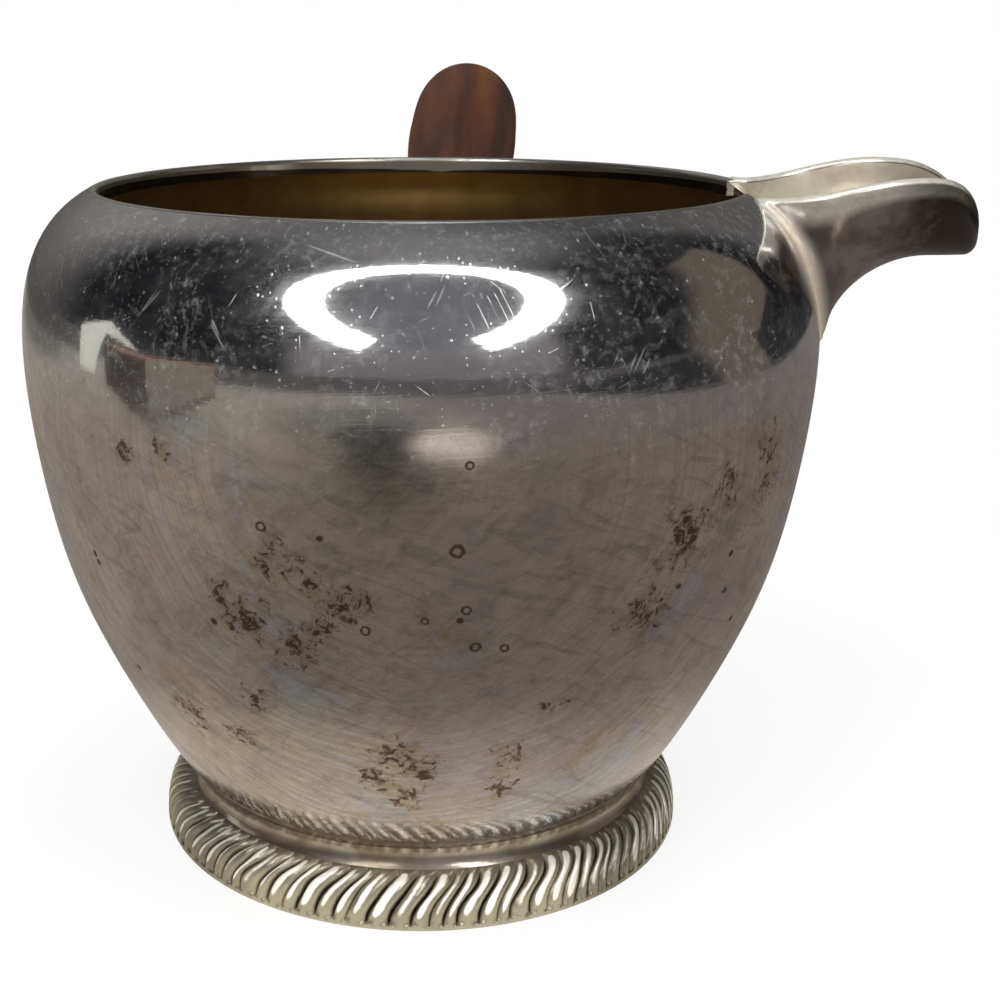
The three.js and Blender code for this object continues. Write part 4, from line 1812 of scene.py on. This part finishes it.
@dataclass
class Handle:
    """Plate, socket, wooden grip and cross pin, along the handle's own rising axis.

    The axis begins at root_out from the bowl's, at root_height, and places whose names end in
    at, start or end are counted along it. The socket's radii are flare at the plate, neck,
    mouth, and bead at the moulded ring there.
    """

    assembly: Assembly
    bowl: BowlShape
    root_out: float = 41.0
    root_height: float = 52.9
    tilt: float = 15.0
    plate_half_width: float = 8.0
    plate_half_height: float = 9.5
    plate_thick: float = 1.0
    plate_round: float = 0.35
    plate_gap: float = 0.3
    plate_lift: float = 0.4
    socket_length: float = 21.0
    flare: float = 6.4
    neck: float = 4.6
    neck_at: float = 6.5
    mouth: float = 6.6
    bead: float = 7.3
    bead_half: float = 1.4
    tenon_start: float = 20.5
    tenon: float = 5.4
    grip_start: float = 6.6
    grip_widest: float = 8.75
    grip_widest_at: float = 57.0
    grip_end: float = 79.67
    grip_round: float = 0.35
    dome_power: float = 5.2
    pin_at: float = 13.5
    pin_radius: float = 0.75
    pin_proud: float = 0.25
    pin_dome: float = 0.2
    columns: int = 96

    def along(self, points: Array) -> Array:
        """Points made along +Z, laid along the handle's axis.

        Args:
            points: the points as made.

        Returns:
            The points about the bowl's axis.
        """
        angle = math.radians(self.tilt - 90)
        x, y, z = points[..., 0], points[..., 1], points[..., 2]
        out = self.root_out + y * math.cos(angle) - z * math.sin(angle)
        height = self.root_height + y * math.sin(angle) + z * math.cos(angle)
        return np.stack([x, out, height], axis=-1)

    def lathe(self, *profiles: Array) -> Patch:
        """Profiles, one after the other, turned round the handle's axis."""
        return Patch(self.along(turned(np.concatenate(profiles), full_turn(self.columns))))

    def socket_radius(self, along: Array) -> Array:
        """Outer radius between the socket's neck and its bead."""
        end = self.socket_length - 2.5 * self.bead_half
        return blend(self.neck, self.mouth, ease((along - self.neck_at) / (end - self.neck_at)))

    def on_wall(self, across: Array, up: Array, outwards: Array) -> Array:
        """Points at a distance outside the bowl's wall, on the handle's side."""
        radius = self.bowl.radius(up) + outwards
        return np.stack([across, np.sqrt(radius**2 - across**2), up], axis=-1)

    def build_plate(self, silver: Material) -> None:
        """Makes the oval plate: a domed oval laid on the bowl's wall, rounded at its edge.

        Args:
            silver: its material.
        """
        turn = full_turn(self.columns)[None, :]
        share = np.sin(np.linspace(0, np.pi / 2, 14))[:, None]
        across = self.plate_half_width * share * np.cos(turn)
        middle = self.root_height + self.plate_lift
        up = middle + self.plate_half_height * share * np.sin(turn)
        rounding = self.plate_round * np.sqrt(np.clip(1 - share**8, 0, 1))
        outwards = self.plate_gap + (self.plate_thick - self.plate_round) + rounding + 0 * turn
        under = np.full_like(outwards, 0.02)
        front = self.on_wall(across, up, outwards)
        edge = self.on_wall(across[-1:], up[-1:], under[-1:])
        back = self.on_wall(across[::-1], up[::-1], under)
        plate = [Patch(np.concatenate([front, edge, back[1:]]))]
        self.assembly.piece("oval_plate", plate, [silver], "socket_plate", Slot.SILVER)

    def build_socket(self, silver: Material) -> None:
        """Makes the trumpet-shaped socket with a moulded ring at its mouth.

        Args:
            silver: its material.
        """
        end = self.socket_length
        share = np.linspace(0, 1, 12)
        base = np.array([(0.0, 1.0), (self.flare, 1.0)])
        narrowing = blend(self.flare, self.neck, np.sin(share * np.pi / 2))
        flare = profile_rows(narrowing, blend(1.5, 4.6, share))
        body_at = np.linspace(self.neck_at, end - 2 * self.bead_half - 0.2, 16)
        body = profile_rows(self.socket_radius(body_at), body_at)
        swell = np.linspace(0, np.pi, 13)
        bead = profile_rows(
            self.mouth + (self.bead - self.mouth) * np.sin(swell),
            end - self.bead_half - self.bead_half * 0.85 * np.cos(swell),
        )
        mouth = np.array([(self.mouth - 0.1, end), (5.9, end), (5.6, 20.4), (0.0, 20.4)])
        socket = [self.lathe(base, flare, body, bead, mouth)]
        self.assembly.piece("handle_trumpet", socket, [silver], "handle_socket", Slot.SILVER)

    def build_grip(self, wood: Material) -> None:
        """Makes the grip: a long cosine swell, then a dome that falls by a high power.

        Args:
            wood: its material.
        """
        shoulder = self.socket_length + 0.3
        start, tenon = self.tenon_start, self.tenon
        edge = (self.grip_start - self.grip_round, shoulder)
        inside = np.array([(0.0, start), (tenon, start), (tenon, shoulder), edge])
        share = np.linspace(0, 1, 40)
        swell = profile_rows(
            blend(self.grip_start, self.grip_widest, ease(share)),
            blend(shoulder + self.grip_round, self.grip_widest_at, share),
        )
        share = np.sin(np.linspace(0, np.pi / 2, 40))[1:]
        dome = profile_rows(
            self.grip_widest * np.sqrt(np.clip(1 - share**self.dome_power, 0, 1)),
            blend(self.grip_widest_at, self.grip_end, share),
        )
        grip = [self.lathe(inside, swell, dome)]
        self.assembly.piece("wooden_grip", grip, [wood], "handle_grip", Slot.WOOD)

    def build_pin(self, brass: Material) -> None:
        """Makes the cross pin: a thin rod through the socket with domed ends.

        Args:
            brass: its material.
        """
        half = float(self.socket_radius(np.array([self.pin_at]))[0]) + self.pin_proud
        bend = np.linspace(0, np.pi / 2, 5)
        rise = half - self.pin_dome + self.pin_dome * np.sin(bend)
        end = profile_rows(self.pin_radius * np.cos(bend), rise)
        rod = turned(np.concatenate([end[::-1] * (1, -1), end]), full_turn(24))
        laid = np.stack([rod[..., 2], rod[..., 1], rod[..., 0] + self.pin_at], axis=-1)
        pin = [Patch(self.along(laid))]
        self.assembly.piece("cross_pin", pin, [brass], "handle_pin", Slot.BRASS)

    def build(self, silver: Material, wood: Material, brass: Material) -> None:
        """Makes the whole handle.

        Args:
            silver: the fittings' material.
            wood: the grip's.
            brass: the pin's.
        """
        self.build_plate(silver)
        self.build_socket(silver)
        self.build_grip(wood)
        self.build_pin(brass)


# Studio


@dataclass(frozen=True)
class LightAndShadePatch:
    """A soft round patch of painted light and shade, hiding a share of the mirrored table's colour."""

    spot: Spot
    radius: float
    share: float
    colour: Colour


@dataclass(frozen=True)
class Card:
    """One upright strip of the mirrored card box, from start to end and from low to top."""

    name: str
    start: Spot
    end: Spot
    low: float
    top: float
    colour: Colour


@dataclass(frozen=True)
class Panel:
    """A rectangle with soft edges on the walls of the mirrored room.

    It lies between two directions, counted in degrees from the one opposite the handle and
    positive towards the spout, and between two elevations.
    """

    turns: Spot
    rises: Spot
    soft: float


@dataclass(frozen=True)
class Lamp:
    """A round soft lamp that faces the bowl, its width in metres and its power in watts."""

    name: str
    spot: Point
    width: float
    power: float


# Painted shadows, dark reflections and pools of light on the mirrored table.
TABLE_LIGHT_AND_SHADE = (
    LightAndShadePatch((20.0, -115.0), 90.0, 0.7, (0.15, 0.14, 0.125)),
    LightAndShadePatch((-60.0, -260.0), 90.0, 0.6, (0.12, 0.12, 0.12)),
    LightAndShadePatch((-26.0, -205.0), 34.0, 1.0, (0.025, 0.025, 0.027)),
    LightAndShadePatch((-4.0, -150.0), 36.0, 1.0, (0.03, 0.03, 0.031)),
    LightAndShadePatch((40.0, -190.0), 32.0, 1.0, (1.15, 1.07, 0.92)),
    LightAndShadePatch((-215.0, -105.0), 50.0, 0.6, (0.15, 0.13, 0.12)),
    LightAndShadePatch((-400.0, 280.0), 160.0, 0.7, (0.09, 0.085, 0.08)),
    LightAndShadePatch((0.0, 0.0), 38.0, 1.0, (0.78, 0.73, 0.62)),
)
BOX_FRONT, BOX_LEFT, BOX_RIGHT = (-180.0, -79.0), (-306.0, -29.0), (-256.0, -228.0)
BOX_SHADE, BOX_TOP, BOX_EDGE = 5.0, 50.0, 52.5
# The box's cards: a lit side, an end in painted shade, a painted shadow along the side's foot.
BOX_CARDS = (
    Card("box_shaded_end", BOX_FRONT, BOX_LEFT, 0.0, BOX_TOP, (0.065, 0.055, 0.048)),
    Card("box_painted_shadow", BOX_RIGHT, BOX_FRONT, 0.0, BOX_SHADE, (0.07, 0.06, 0.05)),
    Card("box_side", BOX_RIGHT, BOX_FRONT, BOX_SHADE, BOX_TOP, (0.24, 0.21, 0.175)),
    Card("box_end_edge", BOX_FRONT, BOX_LEFT, BOX_TOP, BOX_EDGE, (0.45, 0.25, 0.19)),
    Card("box_side_edge", BOX_RIGHT, BOX_FRONT, BOX_TOP, BOX_EDGE, (0.45, 0.25, 0.19)),
)
BOX_FLAP = (
    (-272.0, 22.0, 16.0), (-275.0, -8.0, 14.0), (-272.0, -32.0, 66.0),
    (-266.0, -92.0, 53.0), (-274.0, -36.0, 86.0), (-273.0, 20.0, 64.0),
)
BOX_FLAP_FACES = [[0, 1, 2, 5], [2, 3, 4], [2, 4, 5]]
DOORWAY = Panel((70.0, 130.0), (-10.0, 40.0), 1.5)
PALE_WALL = Panel((-31.0, 42.0), (-8.0, 14.0), 4.0)
HIGH_WALL = Panel((-20.0, 30.0), (12.0, 64.0), 7.0)
DOORWAY_COLOUR = (0.15, 0.126, 0.102)
LAMPS = (
    Lamp("key_lamp", (-420.0, -520.0, 760.0), 0.7, 5.0),
    Lamp("back_lamp", (380.0, 520.0, 700.0), 0.7, 3.0),
    Lamp("foot_lamp", (20.0, -300.0, 70.0), 0.1, 0.42),
)


@dataclass
class Studio:
    """Camera, floor, room and lamps.

    Lengths are millimetres about the bowl's axis, and angles are degrees. The silver mirrors a
    dim room: an arched lamp over the camera, dark space round it, pale walls behind it and at
    the sides, a doorway at the right, an open card box at the left, and a sand-coloured table
    below. The camera sees only white. The arched lamp is aimed from arch_from (distance from
    the axis, height), which sees its edges at the angles arch_inner and arch_outer, across and
    up, and arch_open is half the angle left open at its bottom.
    """

    assembly: Assembly
    camera_distance: float = 160.22
    camera_height: float = 84.42
    camera_pitch: float = 13.487
    camera_turn: float = 4.12
    lens: float = 54.95
    shift: Spot = (0.079, -0.10)
    floor_half: float = 6000.0
    table_reach: float = 560.0
    shadow_share: float = 0.3
    shadow_reach: Spot = (150.0, 50.0)
    arch_turn: float = 5.1
    arch_rise: float = 40.0
    arch_from: Spot = (40.0, 63.0)
    arch_distance: float = 300.0
    arch_inner: Spot = (25.8, 26.0)
    arch_outer: Spot = (36.4, 33.0)
    arch_open: float = 30.0
    arch_strength: float = 4.2
    fill_strength: float = 0.62
    lamps_aim: float = 40.0

    def build_camera(self) -> None:
        """Sets up the camera at the photograph's viewing angle."""
        turn = math.radians(self.camera_turn)
        away = self.camera_distance
        spot = (away * math.sin(turn), -away * math.cos(turn), self.camera_height)
        data = bpy.data.cameras.new("camera")
        data.lens = self.lens
        data.sensor_width = 36.0
        data.sensor_fit = "HORIZONTAL"
        data.shift_x, data.shift_y = self.shift
        data.clip_start, data.clip_end = 0.005, 50.0
        camera = bpy.data.objects.new("camera", data)
        camera.location = self.assembly.spot(spot)
        camera.rotation_euler = (math.radians(90 - self.camera_pitch), 0.0, turn)
        bpy.context.scene.collection.objects.link(camera)
        bpy.context.scene.camera = camera

    def staged(
        self, name: str, points: Array, faces: list[list[int]], finish: Material
    ) -> bpy.types.Object:
        """Makes a sheet that isn't part of the object, of points given about the bowl's axis.

        Args:
            name: its name.
            points: its points.
            faces: each face's points, by number.
            finish: its material.

        Returns:
            The sheet.
        """
        mesh = bpy.data.meshes.new(name)
        mesh.from_pydata(self.assembly.placed(points).tolist(), [], faces)
        mesh.materials.append(finish)
        sheet = bpy.data.objects.new(name, mesh)
        bpy.context.scene.collection.objects.link(sheet)
        return sheet

    def glowing(
        self, name: str, points: Array, faces: list[list[int]], colour: Colour, strength: float = 1
    ) -> None:
        """Makes a staged sheet that shines by itself and isn't seen by the camera.

        Args:
            name: its name.
            points: its points.
            faces: each face's points, by number.
            colour: its light's colour.
            strength: how bright it is.
        """
        bench, made = Bench.material(name)
        bench.finish(bench.glow(colour, strength))
        self.staged(name, points, faces, made).visible_camera = False

    def table_colour(self, bench: Bench, place: Wire) -> Wire:
        """The table as the silver sees it, in painted light: lighter left, soft light, dark patches.

        Args:
            bench: the node tree.
            place: the point on the table.

        Returns:
            The colour.
        """
        grain = bench.noise(place, 26.0, 4.0, 0.6)
        right = bench.parts(place).rise(-0.15, 0.14)
        colour = bench.tint(right, (0.39, 0.36, 0.32), (0.22, 0.20, 0.19))
        for blot in TABLE_LIGHT_AND_SHADE:
            away = bench.distance(place, self.assembly.spot((*blot.spot, 0.0)))
            inside = away.rise(blot.radius * MM * 1.4, blot.radius * MM * 0.6)
            colour = bench.tint(inside * blot.share, colour, blot.colour)
        return bench.tint(grain.rise(0.42, 0.72) * 0.45, colour, (0.14, 0.13, 0.115))

    def beyond_colour(self, bench: Bench, place: Wire) -> Wire:
        """The room's floor beyond the table: dark, with a doorway's light at the right.

        Args:
            bench: the node tree.
            place: the point on the floor.

        Returns:
            The colour.
        """
        parts = bench.parts(place)
        slope = parts.output("Y") / parts
        ahead = parts.output("Y").rise(-0.45, -0.7)
        colour = bench.tint(ahead, (0.03, 0.03, 0.032), (0.11, 0.10, 0.105))
        door = self.right_end(parts) * slope.rise(-0.22, -0.05) * slope.rise(0.27, 0.22)
        colour = bench.tint(door, colour, DOORWAY_COLOUR)
        return bench.tint(parts.rise(-0.22, -0.34), colour, (0.095, 0.089, 0.083))

    @staticmethod
    def right_end(across: Wire) -> Wire:
        """1 where the table has ended on the right."""
        return across.rise(0.29, 0.33)

    def build_floor(self) -> None:
        """Lays the floor: white with a faint shadow to the camera, a sandy table to the silver."""
        bench, made = Bench.material("pale_floor")
        place = bench.place()
        away = bench.distance(place, self.assembly.spot((0.0, 0.0, 0.0)))
        near = away.rise(self.table_reach * MM * 1.15, self.table_reach * MM * 0.85)
        on_table = near * (1 - self.right_end(bench.parts(place)))
        beyond, table = self.beyond_colour(bench, place), self.table_colour(bench, place)
        pale = bench.node("ShaderNodeBsdfDiffuse", None, {"Color": (0.95, 0.95, 0.95, 1.0)}, "BSDF")
        path = bench.node("ShaderNodeLightPath", output="Is Camera Ray")
        # The table glows for the silver with painted light and shade, not lit by the lamps.
        mirrored = bench.glow(bench.tint(on_table, beyond, table))
        lit = bench.blended(path.output("Is Glossy Ray"), pale, mirrored)
        far, close = (reach * MM for reach in self.shadow_reach)
        shadow = away.rise(far, close) * self.shadow_share
        seen = (path + path.output("Is Transmission Ray")) * (1 - shadow)
        bench.finish(bench.blended(seen, lit, bench.glow((1.0, 1.0, 1.0))))
        signs = ((-1, -1), (1, -1), (1, 1), (-1, 1))
        corners = np.array([(x * self.floor_half, y * self.floor_half, 0.0) for x, y in signs])
        self.staged("floor", corners, [[0, 1, 2, 3]], made)

    def build_arch(self) -> None:
        """Hangs the arched lamp, which faces the bowl and isn't seen by the camera.

        It lies in a plane across its own direction: an oval ring between two radii, left open
        at the bottom, whose radii are the tangents of the angles at which the bowl sees it.
        """
        rise, turn = math.radians(self.arch_rise), math.radians(self.arch_turn)
        towards = np.array([math.sin(turn), -math.cos(turn), 0.0])
        across = np.array([math.cos(turn), math.sin(turn), 0.0])
        facing = -towards * math.cos(rise) - np.array([0.0, 0.0, math.sin(rise)])
        upward = np.cross(across, facing)
        start = towards * self.arch_from[0] + np.array([0.0, 0.0, self.arch_from[1]])
        middle = start - facing * self.arch_distance
        turns = np.radians(np.linspace(-90 + self.arch_open, 270 - self.arch_open, 97))[:, None]
        seen = np.radians(np.array([self.arch_inner, self.arch_outer]))
        radii = self.arch_distance * np.tan(seen)[:, :, None, None]
        level = radii[:, 0] * np.cos(turns) * across
        points = middle + level + radii[:, 1] * np.sin(turns) * upward
        faces = Patch(points, ring=False).faces(0).tolist()
        colour, strength = (1.0, 1.0, 0.98), self.arch_strength
        self.glowing("arch_lamp", points.reshape(-1, 3), faces, colour, strength)

    def build_box(self) -> None:
        """Stands an open card box of painted light left of the camera, which only the silver sees."""
        for card in BOX_CARDS:
            foot = [(*card.start, card.low), (*card.end, card.low)]
            head = [(*card.end, card.top), (*card.start, card.top)]
            self.glowing(card.name, np.array(foot + head), [[0, 1, 2, 3]], card.colour)
        self.glowing("box_flap", np.array(BOX_FLAP), BOX_FLAP_FACES, (0.80, 0.79, 0.70))

    def room_colour(self, bench: Bench, way: Wire) -> Wire:
        """The room's colour as the silver sees it in any direction.

        Args:
            bench: the node tree.
            way: the direction.

        Returns:
            The colour.
        """
        parts = bench.parts(way)
        turn = parts.math("ARCTAN2", 0 - parts.output("Y")) * math.degrees(1)
        rise = parts.output("Z").math("ARCSINE") * math.degrees(1)
        patchy = bench.noise(way, 0.0, 4.0, 0.6)
        cloudy = bench.noise(bench.vector("MULTIPLY", way, (3.5, 3.5, 3.5)), 0.0, 4.0, 0.6)

        def on(panel: Panel) -> Wire:
            """1 on a panel, 0 beside it.

            Args:
                panel: the panel.

            Returns:
                The share.
            """
            soft = panel.soft
            (left, right), (bottom, top) = panel.turns, panel.rises
            sides = turn.rise(left - soft, left + soft) * turn.rise(right + soft, right - soft)
            foot = rise.rise(bottom - soft, bottom + soft)
            return sides * foot * rise.rise(top + soft, top - soft)

        room = bench.tint(cloudy.rise(0.35, 0.75), (0.009, 0.009, 0.011), (0.045, 0.044, 0.047))
        left_wall = bench.tint(rise.rise(-4, 46), (0.115, 0.107, 0.10), (0.345, 0.33, 0.315))
        room = bench.tint(turn.rise(-100, -134) * rise.rise(95, 15), room, left_wall)
        wall = bench.tint(patchy, (0.16, 0.155, 0.15), (0.10, 0.095, 0.09))
        on_wall = turn.rise(121, 141) * rise.rise(-8, 14) * rise.rise(88, 30)
        room = bench.tint(on_wall, room, wall)
        right_edge = (turn - rise.rise(-3, 12) * 9).rise(109.5, 107.5)
        left_edge = (turn - rise.rise(4, 40) * 14).rise(76, 88)
        room = bench.tint(on(DOORWAY) * right_edge * left_edge, room, DOORWAY_COLOUR)
        room = bench.tint(on(PALE_WALL) * (cloudy * 0.6 + 0.6), room, (0.24, 0.215, 0.225))
        room = bench.tint(on(HIGH_WALL) * (cloudy * 0.5 + 0.5), room, (0.25, 0.255, 0.27))
        return bench.tint(rise.rise(52, 84), room, (0.245, 0.24, 0.235))

    def build_room(self) -> None:
        """Fills the world: white to the camera, a dim room to the silver, soft light otherwise."""
        world = bpy.data.worlds.new("room")
        world.use_nodes = True
        world.node_tree.nodes.clear()
        bpy.context.scene.world = world
        bench = Bench(world.node_tree)
        way = bench.vector("NORMALIZE", bench.node("ShaderNodeTexCoord", output="Generated"))
        room = self.room_colour(bench, way)
        path = bench.node("ShaderNodeLightPath", output="Is Camera Ray")
        seen = (path + path.output("Is Transmission Ray")).clamped()
        soft = bench.tint(path.output("Is Glossy Ray"), (self.fill_strength,) * 3, room)
        sockets = {"Color": bench.tint(seen, soft, (1.0, 1.0, 1.0)), "Strength": 1.0}
        glow = bench.node("ShaderNodeBackground", None, sockets, "Background")
        bench.finish(glow, "ShaderNodeOutputWorld")

    def build_lamps(self) -> None:
        """Sets two large soft lamps and a low one for the foot, which the silver doesn't mirror."""
        aim = self.assembly.placed(np.array([0.0, 0.0, self.lamps_aim]))
        for lamp in LAMPS:
            data = bpy.data.lights.new(lamp.name, "AREA")
            data.shape = "DISK"
            data.size = lamp.width
            data.energy = lamp.power
            light = bpy.data.objects.new(lamp.name, data)
            light.location = self.assembly.placed(np.array(lamp.spot))
            x, y, z = self.assembly.placed(np.array(lamp.spot)) - aim
            tilt, turn = math.atan2(math.hypot(x, y), z), math.atan2(y, x) + math.pi / 2
            light.rotation_euler = (tilt, 0.0, turn)
            light.visible_glossy = False
            bpy.context.scene.collection.objects.link(light)

    def build(self) -> None:
        """Sets up everything that isn't part of the object."""
        bpy.context.scene.view_settings.view_transform = "Standard"
        self.build_camera()
        self.build_floor()
        self.build_room()
        self.build_arch()
        self.build_box()
        self.build_lamps()


def main() -> None:
    """Builds the studio and the object's pieces in order."""
    logging.basicConfig(level=logging.INFO, format="%(name)s: %(message)s")
    assembly = Assembly.from_frame()
    Studio(assembly).build()
    bowl_shape = BowlShape()
    spout_shape = SpoutShape(bowl_shape)
    worn = SilverFinish().make(assembly, bowl_shape)
    bowl = Bowl(assembly, bowl_shape, spout_shape)
    bowl.build(worn, InsideFinish().make())
    band = FittingFinish("band_silver", (0.80, 0.79, 0.76), (0.55, 0.50, 0.42), haze=0.3)
    bowl.build_band(band.make())
    outside = FittingFinish("spout_silver", (0.46, 0.41, 0.38), (0.22, 0.18, 0.16), haze=0.4)
    inside = FittingFinish(
        "spout_inside", (0.86, 0.83, 0.69), (0.52, 0.43, 0.32),
        haze=0.6, haze_roughness=0.4, frost=0.35, mottle=6.0,
    )
    Spout(assembly, spout_shape).build(outside.make(), inside.make())
    foot = Foot(assembly, bowl_shape)
    neck = FittingFinish("neck_silver", (0.60, 0.54, 0.45), (0.34, 0.27, 0.18), haze=0.5)
    foot.build_neck(neck.make())
    foot.build_border(BorderFinish().make())
    handle = Handle(assembly, bowl_shape)
    root = assembly.spot(tuple(handle.along(np.zeros(3))))
    wood = WoodFinish().make(root, handle.tilt)
    handle.build(FittingFinish("handle_silver").make(), wood, BrassFinish().make())
    log.info("all pieces are made")


if __name__ == "__main__":
    main()
